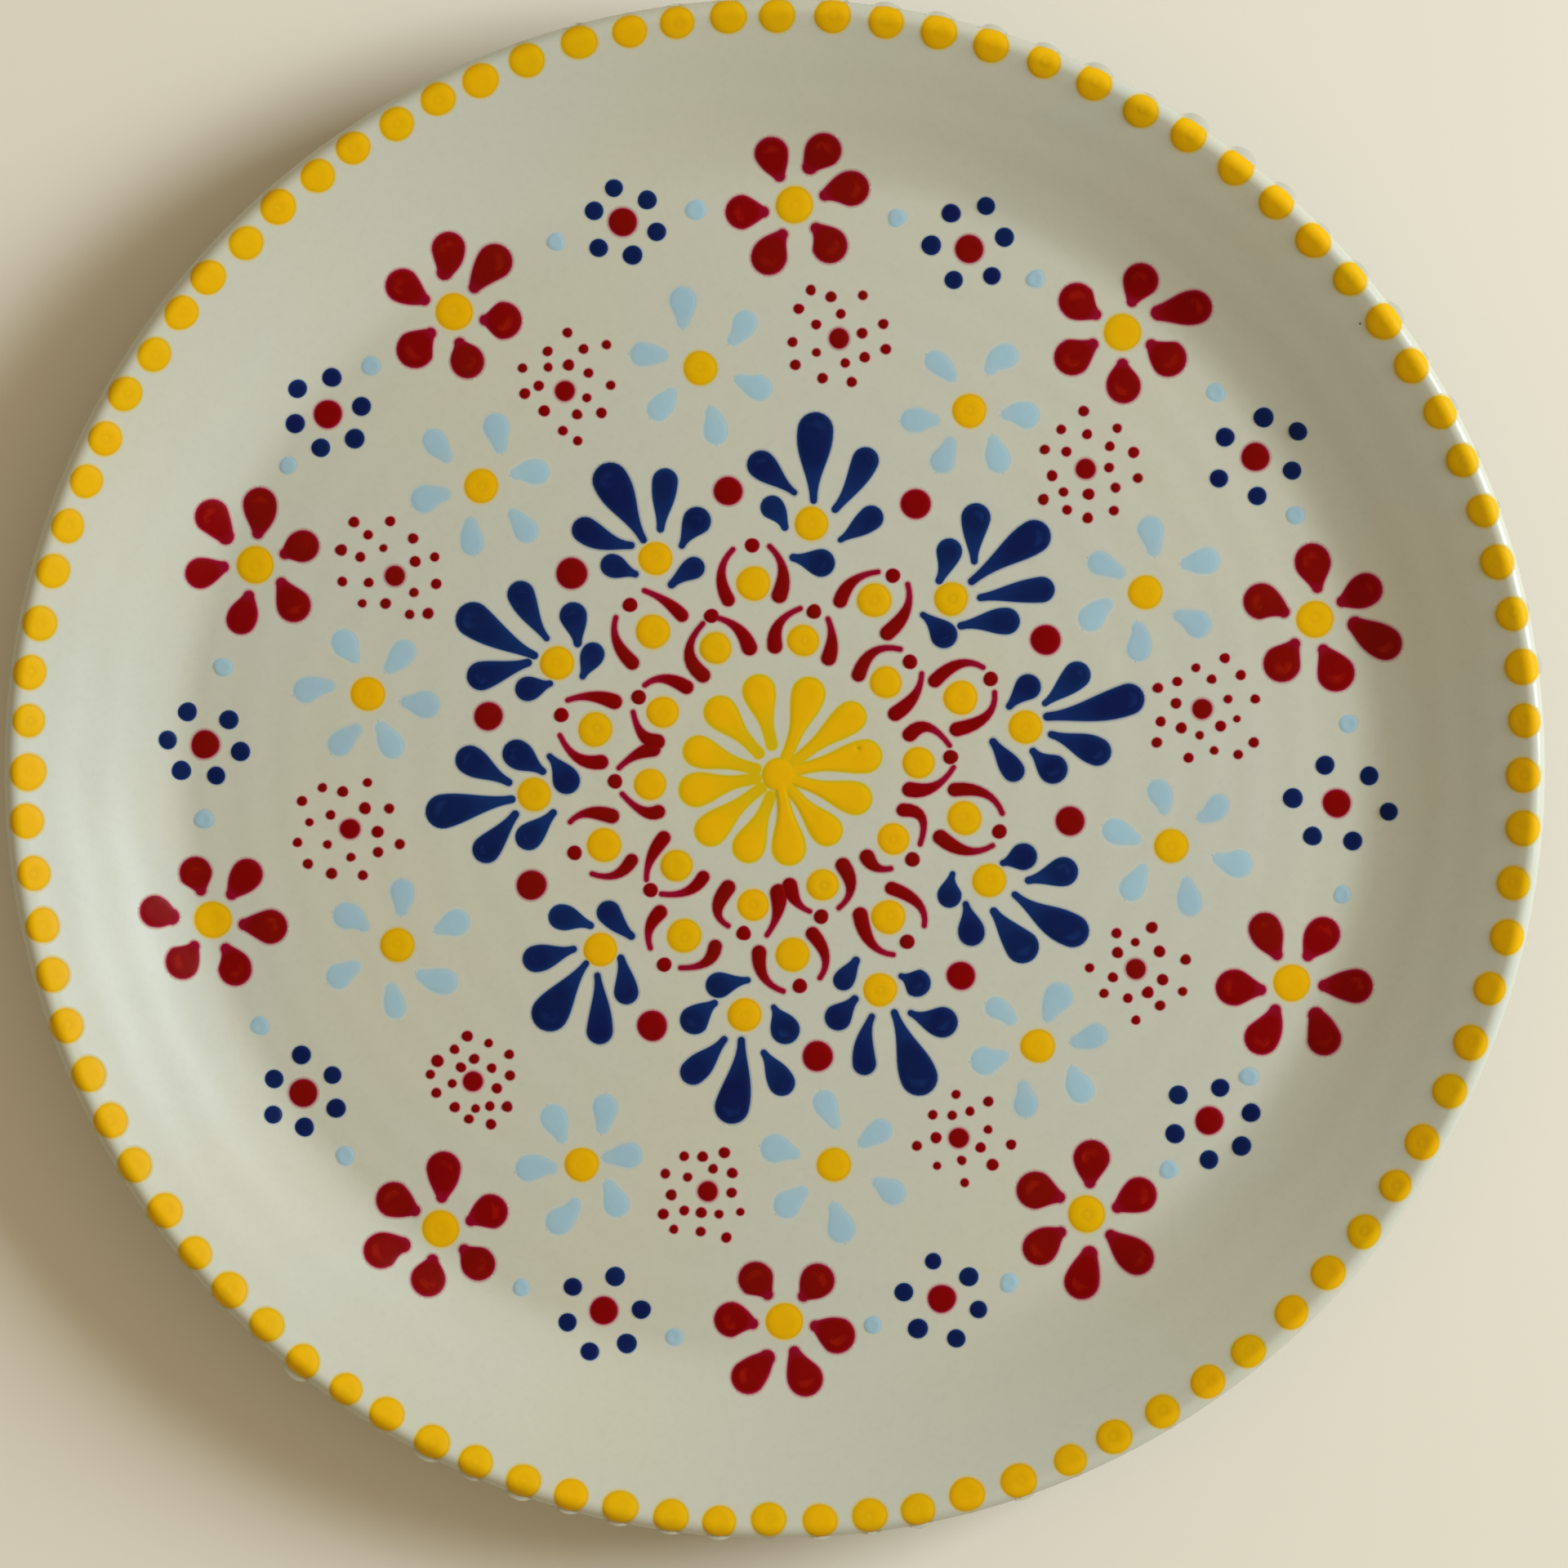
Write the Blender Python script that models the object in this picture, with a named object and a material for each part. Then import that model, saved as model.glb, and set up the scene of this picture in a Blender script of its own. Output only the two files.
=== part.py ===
"""A wheel-thrown coupe plate with thick slip-trailed paint deposits on its glazed floor.

The plate stands on its foot ring. The origin is the centre of the foot on the table, +Z is up
and the painter's start line is +X. All sizes are metres, all angles are degrees.
"""

import math

import bmesh
import bpy
from mathutils import Matrix, Vector

# The thrown clay body.
PLATE_RADIUS = 0.125
PLATE_HEIGHT = 0.0190
RIM_WIDTH = 0.0310
RIM_SLOPE = 23.0
RIM_LIFT_LENGTH = 0.0060
RIM_LAND_LENGTH = 0.0200
LIP_THICKNESS = 0.0038
FLOOR_HEIGHT = 0.0082
BASE_THICKNESS = 0.0048
FOOT_EDGE_INSET = 0.0220
FOOT_CONTACT_WIDTH = 0.0038
FOOT_ROOT_WIDTH = 0.0070
FOOT_CHAMFER = 0.0005

# The paint. Every deposit lies a hair above the clay, so the two stay separate solids.
PAINT_GAP = 0.0003
PAINT_HEIGHT = 0.0008
PAINT_UNDERCUT = 0.9
PAINT_EDGE_HEIGHT = 0.35
PAINT_SHOULDER = 0.66
PAINT_SHOULDER_HEIGHT = 0.86

# The daisy at the centre of the floor.
DAISY_PETALS = 12
DAISY_HUB_RADIUS = 0.0048
DAISY_REACH = 0.0133
DAISY_PETAL_RADIUS = 0.0026
DAISY_NOTCH = 13.4
DAISY_HEIGHT = 0.0010
DAISY_BEVEL = 0.00025

# The ten-fold rings of motif centres. The two outer rings keep their distance to the floor's edge.
# A start angle is where a ring's first motif lies before its wander.
MOTIFS = 10
MOTIF_STEP = 360.0 / MOTIFS
FAN_RING_RADIUS = 0.0400
SKY_RING_RADIUS = 0.0665
SPRAY_RING_RADIUS = 0.0700
RED_EDGE_INSET = 0.0025
DOT_EDGE_INSET = 0.0010
FAN_START = 9.0
SKY_START = 26.0
SPRAY_START = 9.0
RED_START = 16.0
DOT_START = 33.0
FAN_DOT_RADIUS = 0.0027
SKY_DOT_RADIUS = 0.0027
SPRAY_DOT_RADIUS = 0.0016
RED_DOT_RADIUS = 0.0029
DOT_FLOWER_RADIUS = 0.0023

# How smooth the turned shapes are.
PLATE_SIDES = 72
RIM_STEPS = 8
LIP_STEPS = 6
DOT_SIDES = 12
PETAL_STEPS = 6

# How the painter's hand wandered off the even spacing, motif by motif, as degrees along the
# ring and millimetres outward.
FAN_WANDER = (
    (0.5, 1.5), (-1, 0), (0.5, 0.5), (2.5, -0.5), (1, -0.5),
    (-3, -0.5), (1, 1), (2, 0.5), (-1.5, 0), (-0.5, -0.5),
)
SKY_WANDER = (
    (-0.5, 0.5), (-0.5, 0), (2.5, 0), (2, 0), (-0.5, 1),
    (-1, 1.5), (2, 5.5), (0.5, -1), (-0.5, -4), (-1, -0.5),
)
SPRAY_WANDER = (
    (-1, 0.5), (-1, 0.5), (0.5, 1), (2, 0.5), (0, -0.5),
    (-1, 0), (1, 1), (0, 0), (-0.5, -2.5), (-2, -2.5),
)
RED_WANDER = (
    (-0.5, 0), (-0.5, -0.5), (0, 0.5), (1, -0.5), (-1.5, -0.5),
    (-1, 3.5), (2, 1.5), (3, -1), (1, -2.5), (-2.5, 0),
)
DOT_WANDER = (
    (0, 0.5), (0.5, -2.5), (0.5, -0.5), (0.5, 0), (0.5, 0),
    (1.5, 0.5), (3.5, 0), (2.5, -2), (0, -1.5), (-0.5, -1),
)

MILLIMETRE = 0.001
PLATE_GLAZE = (0.66, 0.62, 0.47)
YELLOW_PAINT = (0.86, 0.47, 0.01)
MUSTARD_PAINT = (0.68, 0.41, 0.01)
RED_PAINT = (0.30, 0.01, 0.01)


def clear_scene():
    for thing in list(bpy.data.objects):
        bpy.data.objects.remove(thing, do_unlink=True)


def make_material(name, colour, roughness):
    material = bpy.data.materials.new(name)
    material.use_nodes = True
    shader = material.node_tree.nodes["Principled BSDF"]
    shader.inputs["Base Color"].default_value = (*colour, 1.0)
    shader.inputs["Roughness"].default_value = roughness
    shader.inputs["Metallic"].default_value = 0.0
    material.diffuse_color = (*colour, 1.0)
    return material


def finish_object(name, bm, material, place=None):
    bmesh.ops.recalc_face_normals(bm, faces=bm.faces)
    mesh = bpy.data.meshes.new(name)
    bm.to_mesh(mesh)
    bm.free()
    mesh.materials.append(material)
    mesh.shade_smooth()
    mesh.set_sharp_from_angle(angle=math.radians(40.0))
    thing = bpy.data.objects.new(name, mesh)
    thing.matrix_world = place or Matrix.Identity(4)
    bpy.context.scene.collection.objects.link(thing)
    return thing


def turned_solid(profile, sides):
    """A closed solid of revolution about +Z. Its (radius, height) points start and end on the axis."""
    bm = bmesh.new()
    verts = [bm.verts.new((radius, 0.0, height)) for radius, height in profile]
    edges = [bm.edges.new(pair) for pair in zip(verts, verts[1:])]
    bmesh.ops.spin(
        bm,
        geom=verts + edges,
        cent=(0.0, 0.0, 0.0),
        axis=(0.0, 0.0, 1.0),
        angle=math.tau,
        steps=sides,
        use_merge=True,
    )
    bmesh.ops.remove_doubles(bm, verts=bm.verts, dist=1e-6)
    return bm


def cubic(start, start_pull, end_pull, end, share):
    """A point on the smooth curve from start to end, bent by its two pull points."""
    rest = 1.0 - share
    return (
        start * rest**3
        + start_pull * 3.0 * rest**2 * share
        + end_pull * 3.0 * rest * share**2
        + end * share**3
    )


def rim_lines():
    """The rim's inner and outer lines, from the floor's edge up to where the round lip begins."""
    slope = math.radians(RIM_SLOPE)
    uphill = Vector((math.cos(slope), math.sin(slope)))
    square_up = Vector((-math.sin(slope), math.cos(slope)))
    lip_radius = LIP_THICKNESS / 2.0
    lip_centre = Vector((PLATE_RADIUS - lip_radius, PLATE_HEIGHT - lip_radius))
    start = Vector((PLATE_RADIUS - RIM_WIDTH, FLOOR_HEIGHT))
    end = lip_centre + square_up * lip_radius
    start_pull = start + Vector((RIM_LIFT_LENGTH, 0.0))
    end_pull = end - uphill * RIM_LAND_LENGTH
    inner = [cubic(start, start_pull, end_pull, end, k / RIM_STEPS) for k in range(RIM_STEPS + 1)]
    outer = []
    for k, point in enumerate(inner):
        before = inner[max(k - 1, 0)]
        after = inner[min(k + 1, RIM_STEPS)]
        along = (after - before).normalized()
        if k == 0:
            along = Vector((1.0, 0.0))
        if k == RIM_STEPS:
            along = uphill
        thickness = BASE_THICKNESS + (LIP_THICKNESS - BASE_THICKNESS) * k / RIM_STEPS
        outer.append(point + Vector((along.y, -along.x)) * thickness)
    return inner, outer, lip_centre


def lip_arc(lip_centre):
    """The round lip, from its underside over the top to its inner side."""
    points = []
    for k in range(1, LIP_STEPS):
        turn = math.radians(RIM_SLOPE - 90.0 + 180.0 * k / LIP_STEPS)
        reach = LIP_THICKNESS / 2.0
        points.append((lip_centre.x + reach * math.cos(turn), lip_centre.y + reach * math.sin(turn)))
    return points


def foot_outline():
    """The trimmed foot ring, from its inner root round the contact face to its outer root."""
    middle = PLATE_RADIUS - RIM_WIDTH - FOOT_EDGE_INSET
    root_height = FLOOR_HEIGHT - BASE_THICKNESS
    half_root = FOOT_ROOT_WIDTH / 2.0
    half_contact = FOOT_CONTACT_WIDTH / 2.0
    return [
        (middle - half_root, root_height),
        (middle - half_contact - FOOT_CHAMFER, FOOT_CHAMFER),
        (middle - half_contact, 0.0),
        (middle + half_contact, 0.0),
        (middle + half_contact + FOOT_CHAMFER, FOOT_CHAMFER),
        (middle + half_root, root_height),
    ]


def make_plate_body(material):
    inner, outer, lip_centre = rim_lines()
    profile = [(0.0, FLOOR_HEIGHT - BASE_THICKNESS)]
    profile += foot_outline()
    profile += [tuple(point) for point in outer]
    profile += lip_arc(lip_centre)
    profile += [tuple(point) for point in reversed(inner)]
    profile += [(0.0, FLOOR_HEIGHT)]
    return finish_object("plate_body", turned_solid(profile, PLATE_SIDES), material)


def daisy_outline():
    """One turn round the daisy: a notch at the hub, then the round end of each club-shaped petal."""
    points = []
    tangent = math.asin(DAISY_PETAL_RADIUS / DAISY_REACH)
    first = -tangent - math.pi / 2.0
    span = math.pi + 2.0 * tangent
    notch = math.radians(DAISY_NOTCH)
    for petal in range(DAISY_PETALS):
        turn = Matrix.Rotation(math.tau * petal / DAISY_PETALS, 2)
        points.append(turn @ Vector((math.cos(-notch), math.sin(-notch))) * DAISY_HUB_RADIUS)
        for k in range(PETAL_STEPS + 1):
            around = first + span * k / PETAL_STEPS
            along = DAISY_REACH + DAISY_PETAL_RADIUS * math.cos(around)
            across = DAISY_PETAL_RADIUS * math.sin(around)
            points.append(turn @ Vector((along, across)))
        points.append(turn @ Vector((math.cos(notch), math.sin(notch))) * DAISY_HUB_RADIUS)
    return points


def make_daisy(material):
    bm = bmesh.new()
    base = [bm.verts.new((point.x, point.y, 0.0)) for point in daisy_outline()]
    low_face = bm.faces.new(base)
    raised = bmesh.ops.extrude_face_region(bm, geom=[low_face])["geom"]
    top_verts = [item for item in raised if isinstance(item, bmesh.types.BMVert)]
    bmesh.ops.translate(bm, verts=top_verts, vec=(0.0, 0.0, DAISY_HEIGHT))
    top_edges = [edge for edge in bm.edges if all(vert.co.z > DAISY_HEIGHT / 2.0 for vert in edge.verts)]
    bmesh.ops.bevel(bm, geom=top_edges, offset=DAISY_BEVEL, segments=1, affect="EDGES")
    return finish_object("daisy", bm, material, Matrix.Translation((0.0, 0.0, FLOOR_HEIGHT + PAINT_GAP)))


def dot_profile(radius):
    """A drop of paint in half section, from the middle of its flat underside to its crown."""
    return [
        (0.0, 0.0),
        (radius * PAINT_UNDERCUT, 0.0),
        (radius, PAINT_HEIGHT * PAINT_EDGE_HEIGHT),
        (radius * PAINT_SHOULDER, PAINT_HEIGHT * PAINT_SHOULDER_HEIGHT),
        (0.0, PAINT_HEIGHT),
    ]


def glaze_height(radius, inner):
    """The height of the glazed side at a radius: flat over the floor, then up the rim's inner line."""
    if radius <= inner[0].x:
        return inner[0].y
    for low, high in zip(inner, inner[1:]):
        if radius <= high.x:
            return low.y + (high.y - low.y) * (radius - low.x) / (high.x - low.x)
    return inner[-1].y


def resting_place(angle, reach, dot_radius, inner):
    """Where a drop lies: across the clay between its lowest and highest edge, tilted with the rim."""
    near = glaze_height(reach - dot_radius, inner)
    far = glaze_height(reach + dot_radius, inner)
    tilt = Matrix.Rotation(-math.atan2(far - near, 2.0 * dot_radius), 4, "Y")
    outward = Matrix.Translation((reach, 0.0, (near + far) / 2.0 + PAINT_GAP))
    return Matrix.Rotation(angle, 4, "Z") @ outward @ tilt


def make_ring_of_dots(family, ring_radius, first_angle, wander, dot_radius, material):
    """Ten drops round the plate, each placed off its even share of the ring by the painter's hand."""
    inner = rim_lines()[0]
    for number, (degrees, millimetres) in enumerate(wander):
        angle = math.radians(first_angle + MOTIF_STEP * number + degrees)
        reach = ring_radius + millimetres * MILLIMETRE
        bm = turned_solid(dot_profile(dot_radius), DOT_SIDES)
        place = resting_place(angle, reach, dot_radius, inner)
        finish_object(f"{family}_{number + 1:02d}", bm, material, place)


def main():
    clear_scene()
    glaze = make_material("cream_glaze", PLATE_GLAZE, 0.18)
    yellow = make_material("yellow_paint", YELLOW_PAINT, 0.35)
    mustard = make_material("mustard_paint", MUSTARD_PAINT, 0.40)
    red = make_material("red_paint", RED_PAINT, 0.25)
    floor_radius = PLATE_RADIUS - RIM_WIDTH
    make_plate_body(glaze)
    make_daisy(mustard)
    red_ring = floor_radius - RED_EDGE_INSET
    dot_ring = floor_radius - DOT_EDGE_INSET
    make_ring_of_dots("fan_centre", FAN_RING_RADIUS, FAN_START, FAN_WANDER, FAN_DOT_RADIUS, yellow)
    make_ring_of_dots("sky_flower_centre", SKY_RING_RADIUS, SKY_START, SKY_WANDER, SKY_DOT_RADIUS, yellow)
    make_ring_of_dots("spray_centre", SPRAY_RING_RADIUS, SPRAY_START, SPRAY_WANDER, SPRAY_DOT_RADIUS, red)
    make_ring_of_dots("red_flower_centre", red_ring, RED_START, RED_WANDER, RED_DOT_RADIUS, yellow)
    make_ring_of_dots("dot_flower_centre", dot_ring, DOT_START, DOT_WANDER, DOT_FLOWER_RADIUS, red)


main()
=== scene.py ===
import math

import bpy
import numpy as np
from mathutils import Matrix, Vector


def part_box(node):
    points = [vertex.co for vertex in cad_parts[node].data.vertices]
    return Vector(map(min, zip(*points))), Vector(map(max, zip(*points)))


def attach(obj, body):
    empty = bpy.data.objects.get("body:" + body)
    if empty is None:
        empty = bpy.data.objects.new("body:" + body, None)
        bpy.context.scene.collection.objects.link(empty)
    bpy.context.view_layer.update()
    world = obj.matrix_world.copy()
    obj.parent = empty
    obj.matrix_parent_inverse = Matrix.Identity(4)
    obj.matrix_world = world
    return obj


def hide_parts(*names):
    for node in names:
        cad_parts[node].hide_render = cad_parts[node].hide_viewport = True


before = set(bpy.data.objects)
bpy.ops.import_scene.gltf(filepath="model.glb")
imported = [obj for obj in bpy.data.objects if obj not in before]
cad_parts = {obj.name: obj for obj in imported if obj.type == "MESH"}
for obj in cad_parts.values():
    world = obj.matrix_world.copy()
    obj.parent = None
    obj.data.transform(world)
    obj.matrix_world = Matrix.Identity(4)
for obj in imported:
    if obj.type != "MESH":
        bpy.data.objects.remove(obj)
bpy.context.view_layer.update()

# All the tables below are in millimetres and degrees. Lengths become metres when a mesh is made.
mm = 0.001
scene = bpy.context.scene
hand = np.random.default_rng(29)  # the painter's unsteadiness, the same on every run


# Edges sharper than this angle are not smoothed, and a paint deposit's normals lean back to the glaze's
# own by a share that falls as its film mark rises.
smoothing = dict(sharpAngle=55, film=(0.3, 0.6, 1.0), lean=(1.0, 0.62, 0.5), upward=0.2)


def makeMesh(name, verts, quads, tris, marks):
    # whole arrays go straight into the mesh; marks are one number a vertex, read by the paint
    corners = np.concatenate([quads.ravel(), tris.ravel()]).astype(np.int32)
    sizes = np.concatenate([np.full(len(quads), 4), np.full(len(tris), 3)])
    starts = np.concatenate([[0], np.cumsum(sizes)[:-1]]).astype(np.int32)
    mesh = bpy.data.meshes.new(name)
    mesh.vertices.add(len(verts))
    mesh.vertices.foreach_set("co", (verts * mm).astype(np.float32).ravel())
    mesh.loops.add(len(corners))
    mesh.loops.foreach_set("vertex_index", corners)
    mesh.polygons.add(len(sizes))
    mesh.polygons.foreach_set("loop_start", starts)
    mesh.polygons.foreach_set("use_smooth", np.ones(len(sizes), bool))
    mesh.update(calc_edges=True)
    mesh.set_sharp_from_angle(angle=math.radians(smoothing["sharpAngle"]))
    for label, values in marks.items():
        mark = mesh.attributes.new(label, "FLOAT", "POINT")
        mark.data.foreach_set("value", values.astype(np.float32).ravel())
    if "film" in marks:
        easeNormals(mesh, verts, marks["film"], len(corners))
    thing = bpy.data.objects.new(name, mesh)
    scene.collection.objects.link(thing)
    return thing


def easeNormals(mesh, verts, film, cornerCount):
    # Wet paint levels into the glaze, so its shading normals lean back to the glaze's own: wholly in
    # the thin skirt, half way on the body. Corners of faces that look down keep their own normals.
    own = np.empty(len(verts) * 3, np.float32)
    mesh.vertex_normals.foreach_get("vector", own)
    r = np.maximum(np.linalg.norm(verts[:, :2], axis=1), 1e-6)
    tilt = glazeTilt(r)
    inward = -np.sin(tilt) / r
    square = np.stack([inward * verts[:, 0], inward * verts[:, 1], np.cos(tilt)], 1)
    share = np.interp(film, smoothing["film"], smoothing["lean"])[:, None]
    eased = own.reshape(-1, 3) * (1 - share) + square * share
    eased /= np.linalg.norm(eased, axis=1)[:, None]
    vertexOf = np.empty(cornerCount, np.int32)
    mesh.loops.foreach_get("vertex_index", vertexOf)
    faces = len(mesh.polygons)
    facing, sizes = np.empty(faces * 3, np.float32), np.empty(faces, np.int32)
    mesh.polygons.foreach_get("normal", facing)
    mesh.polygons.foreach_get("loop_total", sizes)
    facing = np.repeat(facing.reshape(-1, 3), sizes, axis=0)
    up = (facing * square[vertexOf]).sum(1) > smoothing["upward"]
    mesh.normals_split_custom_set((eased[vertexOf] * up[:, None]).tolist())


def shellMesh(name, rings, firstPoles, lastPoles, marks):
    # several closed skins at once: rings[n, row, around] is a stack of loops, and a fan of
    # triangles onto a pole closes the first and the last loop of each skin
    count, rows, around = rings.shape[:3]
    each = rows * around + 2
    verts = np.concatenate([rings.reshape(count, -1, 3), firstPoles[:, None], lastPoles[:, None]], 1)
    step = np.arange(around)
    after = (step + 1) % around
    row = np.arange(rows - 1)[:, None] * around
    quads = np.stack([row + step, row + around + step, row + around + after, row + after], -1).reshape(-1, 4)
    last = (rows - 1) * around
    firstFan = np.stack([np.full(around, rows * around), step, after], -1)
    lastFan = np.stack([np.full(around, rows * around + 1), last + after, last + step], -1)
    shift = (np.arange(count) * each)[:, None, None]
    quads = (quads[None] + shift).reshape(-1, 4)
    tris = (np.concatenate([firstFan, lastFan])[None] + shift).reshape(-1, 3)
    return makeMesh(name, verts.reshape(-1, 3), quads, tris, marks)


def joinMarks(onRings, onFirst, onLast):
    # puts the values of the loops and of the two poles in the order of the vertices
    count = onRings.shape[0]
    return np.concatenate([onRings.reshape(count, -1), onFirst[:, None], onLast[:, None]], 1).ravel()


# the plate's own shape
plate = dict(
    radius=125.0, height=19.0,
    floorRadius=94.0, floorHeight=8.2, baseThickness=4.8,
    slope=23.0, liftLength=6.0, landLength=20.0, lipThickness=3.8,
    footMiddle=72.0, footContact=3.8, footRoot=7.0, footBevel=0.5, footFillet=1.6,
    turningRing=4.6, turningDepth=0.05,   # the faint rings that the trimming tool leaves underneath
    sides=360, floorRings=47, rimSteps=36, lipSteps=12, underRings=90,
)
rimTurn = math.radians(plate["slope"])
uphill = np.array([math.cos(rimTurn), math.sin(rimTurn)])
squareUp = np.array([-math.sin(rimTurn), math.cos(rimTurn)])
lipRadius = plate["lipThickness"] / 2
lipCentre = np.array([plate["radius"] - lipRadius, plate["height"] - lipRadius])


def bentLine(start, startPull, endPull, end, share):
    # cubic from start to end: each point is the four corners weighed by powers of share and its rest
    s = np.asarray(share, float)[:, None]
    r = 1 - s
    return start * r**3 + startPull * 3 * r**2 * s + endPull * 3 * r * s**2 + end * s**3


rimStart = np.array([plate["floorRadius"], plate["floorHeight"]])
rimEnd = lipCentre + squareUp * lipRadius
rimShare = np.linspace(0, 1, plate["rimSteps"] + 1)
rimInner = bentLine(
    rimStart, rimStart + (plate["liftLength"], 0), rimEnd - uphill * plate["landLength"], rimEnd, rimShare
)
rimAlong = np.gradient(rimInner, axis=0)
rimAlong[0], rimAlong[-1] = (1, 0), uphill
rimAlong /= np.linalg.norm(rimAlong, axis=1)[:, None]


# the glaze's height and outward slope against the distance from the middle, floor, rim and lip
lipFall = np.radians(np.linspace(plate["slope"] + 90 - 8, 25, 12))
glazeAt = np.append(rimInner[:, 0], lipCentre[0] + lipRadius * np.cos(lipFall))
glazeUp = np.append(rimInner[:, 1], lipCentre[1] + lipRadius * np.sin(lipFall))
glazeLean = np.append(np.arctan2(rimAlong[:, 1], rimAlong[:, 0]), lipFall - math.pi / 2)


def glazeHeight(r):
    return np.interp(r, glazeAt, glazeUp)


def glazeTilt(r):
    return np.interp(r, glazeAt, glazeLean)


def ontoGlaze(plan, lift):
    # a plan point goes down onto the glaze and is then lifted square to it
    r = np.maximum(np.linalg.norm(plan, axis=-1), 1e-6)
    tilt = glazeTilt(r)
    outward = plan / r[..., None]
    flat = plan - outward * (np.sin(tilt) * lift)[..., None]
    return np.concatenate([flat, (glazeHeight(r) + np.cos(tilt) * lift)[..., None]], -1)


def roundedCorners(points, reach, steps):
    # each inner corner is swapped for a short curve that starts and ends at reach from it
    corner, before, after = points[1:-1], points[:-2], points[2:]
    inward = (before - corner) / np.linalg.norm(before - corner, axis=1)[:, None]
    onward = (after - corner) / np.linalg.norm(after - corner, axis=1)[:, None]
    t = np.linspace(0, 1, steps)[None, :, None]
    start, end = (corner + inward * reach[:, None])[:, None], (corner + onward * reach[:, None])[:, None]
    curve = start * (1 - t) ** 2 + corner[:, None] * 2 * (1 - t) * t + end * t**2
    return np.concatenate([points[:1], curve.reshape(-1, 2), points[-1:]])


def makePlate():
    # one profile, from the middle of the floor over the lip to the middle of the underside,
    # turned about the upright axis
    across = np.linspace(2, plate["floorRadius"], plate["floorRings"])
    floor = np.stack([across, np.full(len(across), plate["floorHeight"])], 1)
    turn = rimTurn + math.pi / 2 - np.linspace(0, math.pi, plate["lipSteps"] + 1)[1:-1]
    lip = lipCentre + lipRadius * np.stack([np.cos(turn), np.sin(turn)], 1)
    wall = plate["baseThickness"] + (plate["lipThickness"] - plate["baseThickness"]) * rimShare
    rimOuter = rimInner + np.stack([rimAlong[:, 1], -rimAlong[:, 0]], 1) * wall[:, None]
    root = plate["floorHeight"] - plate["baseThickness"]
    middle, halfRoot, halfFoot = plate["footMiddle"], plate["footRoot"] / 2, plate["footContact"] / 2
    bevel, flatFrom = plate["footBevel"], middle - halfRoot - 9
    foot = np.array([
        (plate["floorRadius"] - 2, root), (middle + halfRoot, root),
        (middle + halfFoot + bevel, bevel), (middle + halfFoot, 0),
        (middle - halfFoot, 0), (middle - halfFoot - bevel, bevel),
        (middle - halfRoot, root), (middle - halfRoot - 8, root),
    ])
    reach = np.array([plate["footFillet"]] + [bevel * 0.4] * 4 + [plate["footFillet"]])
    foot = roundedCorners(foot, reach, 5)
    under = np.linspace(flatFrom, 1.5, plate["underRings"])
    fade = np.clip((flatFrom - under) / 6, 0, 1)
    rings = plate["turningDepth"] * fade * np.sin(2 * math.pi * under / plate["turningRing"])
    under = np.stack([under, root + rings], 1)
    profile = np.concatenate([floor, rimInner[1:], lip, rimOuter[::-1][:-1], foot, under])
    around = np.linspace(0, 2 * math.pi, plate["sides"], endpoint=False)
    compass = np.stack([np.cos(around), np.sin(around)], 1)
    rings = np.concatenate([
        profile[:, None, :1] * compass[None],
        np.broadcast_to(profile[:, None, 1:], (len(profile), plate["sides"], 1)),
    ], -1)[None]
    top = np.array([[0, 0, plate["floorHeight"]]])
    bottom = np.array([[0, 0, root]])
    return shellMesh("glazedPlate", rings, top, bottom, {})


# paint shapes
def paintCap(rho):
    # the height of a paint deposit across its half width: flat on top and rounded over at the edge
    return (1 - np.clip(rho, 0, 1) ** 4.2) ** 0.75


# outside a deposit's edge the paint runs out in a thin skirt, given as shares of the feather's width,
# heights above the glaze and film marks
skirt = dict(
    out=np.array([0.2, 0.5, 1.0]), lift=np.array([0.05, 0.03, -0.03]), film=np.array([0.22, 0.09, 0.0]),
)
filmEdge, filmTop = 0.35, 0.9   # the film marks at a deposit's edge and on its full thickness
sunk = 0.12                     # how far a deposit's underside lies in the glaze


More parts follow.
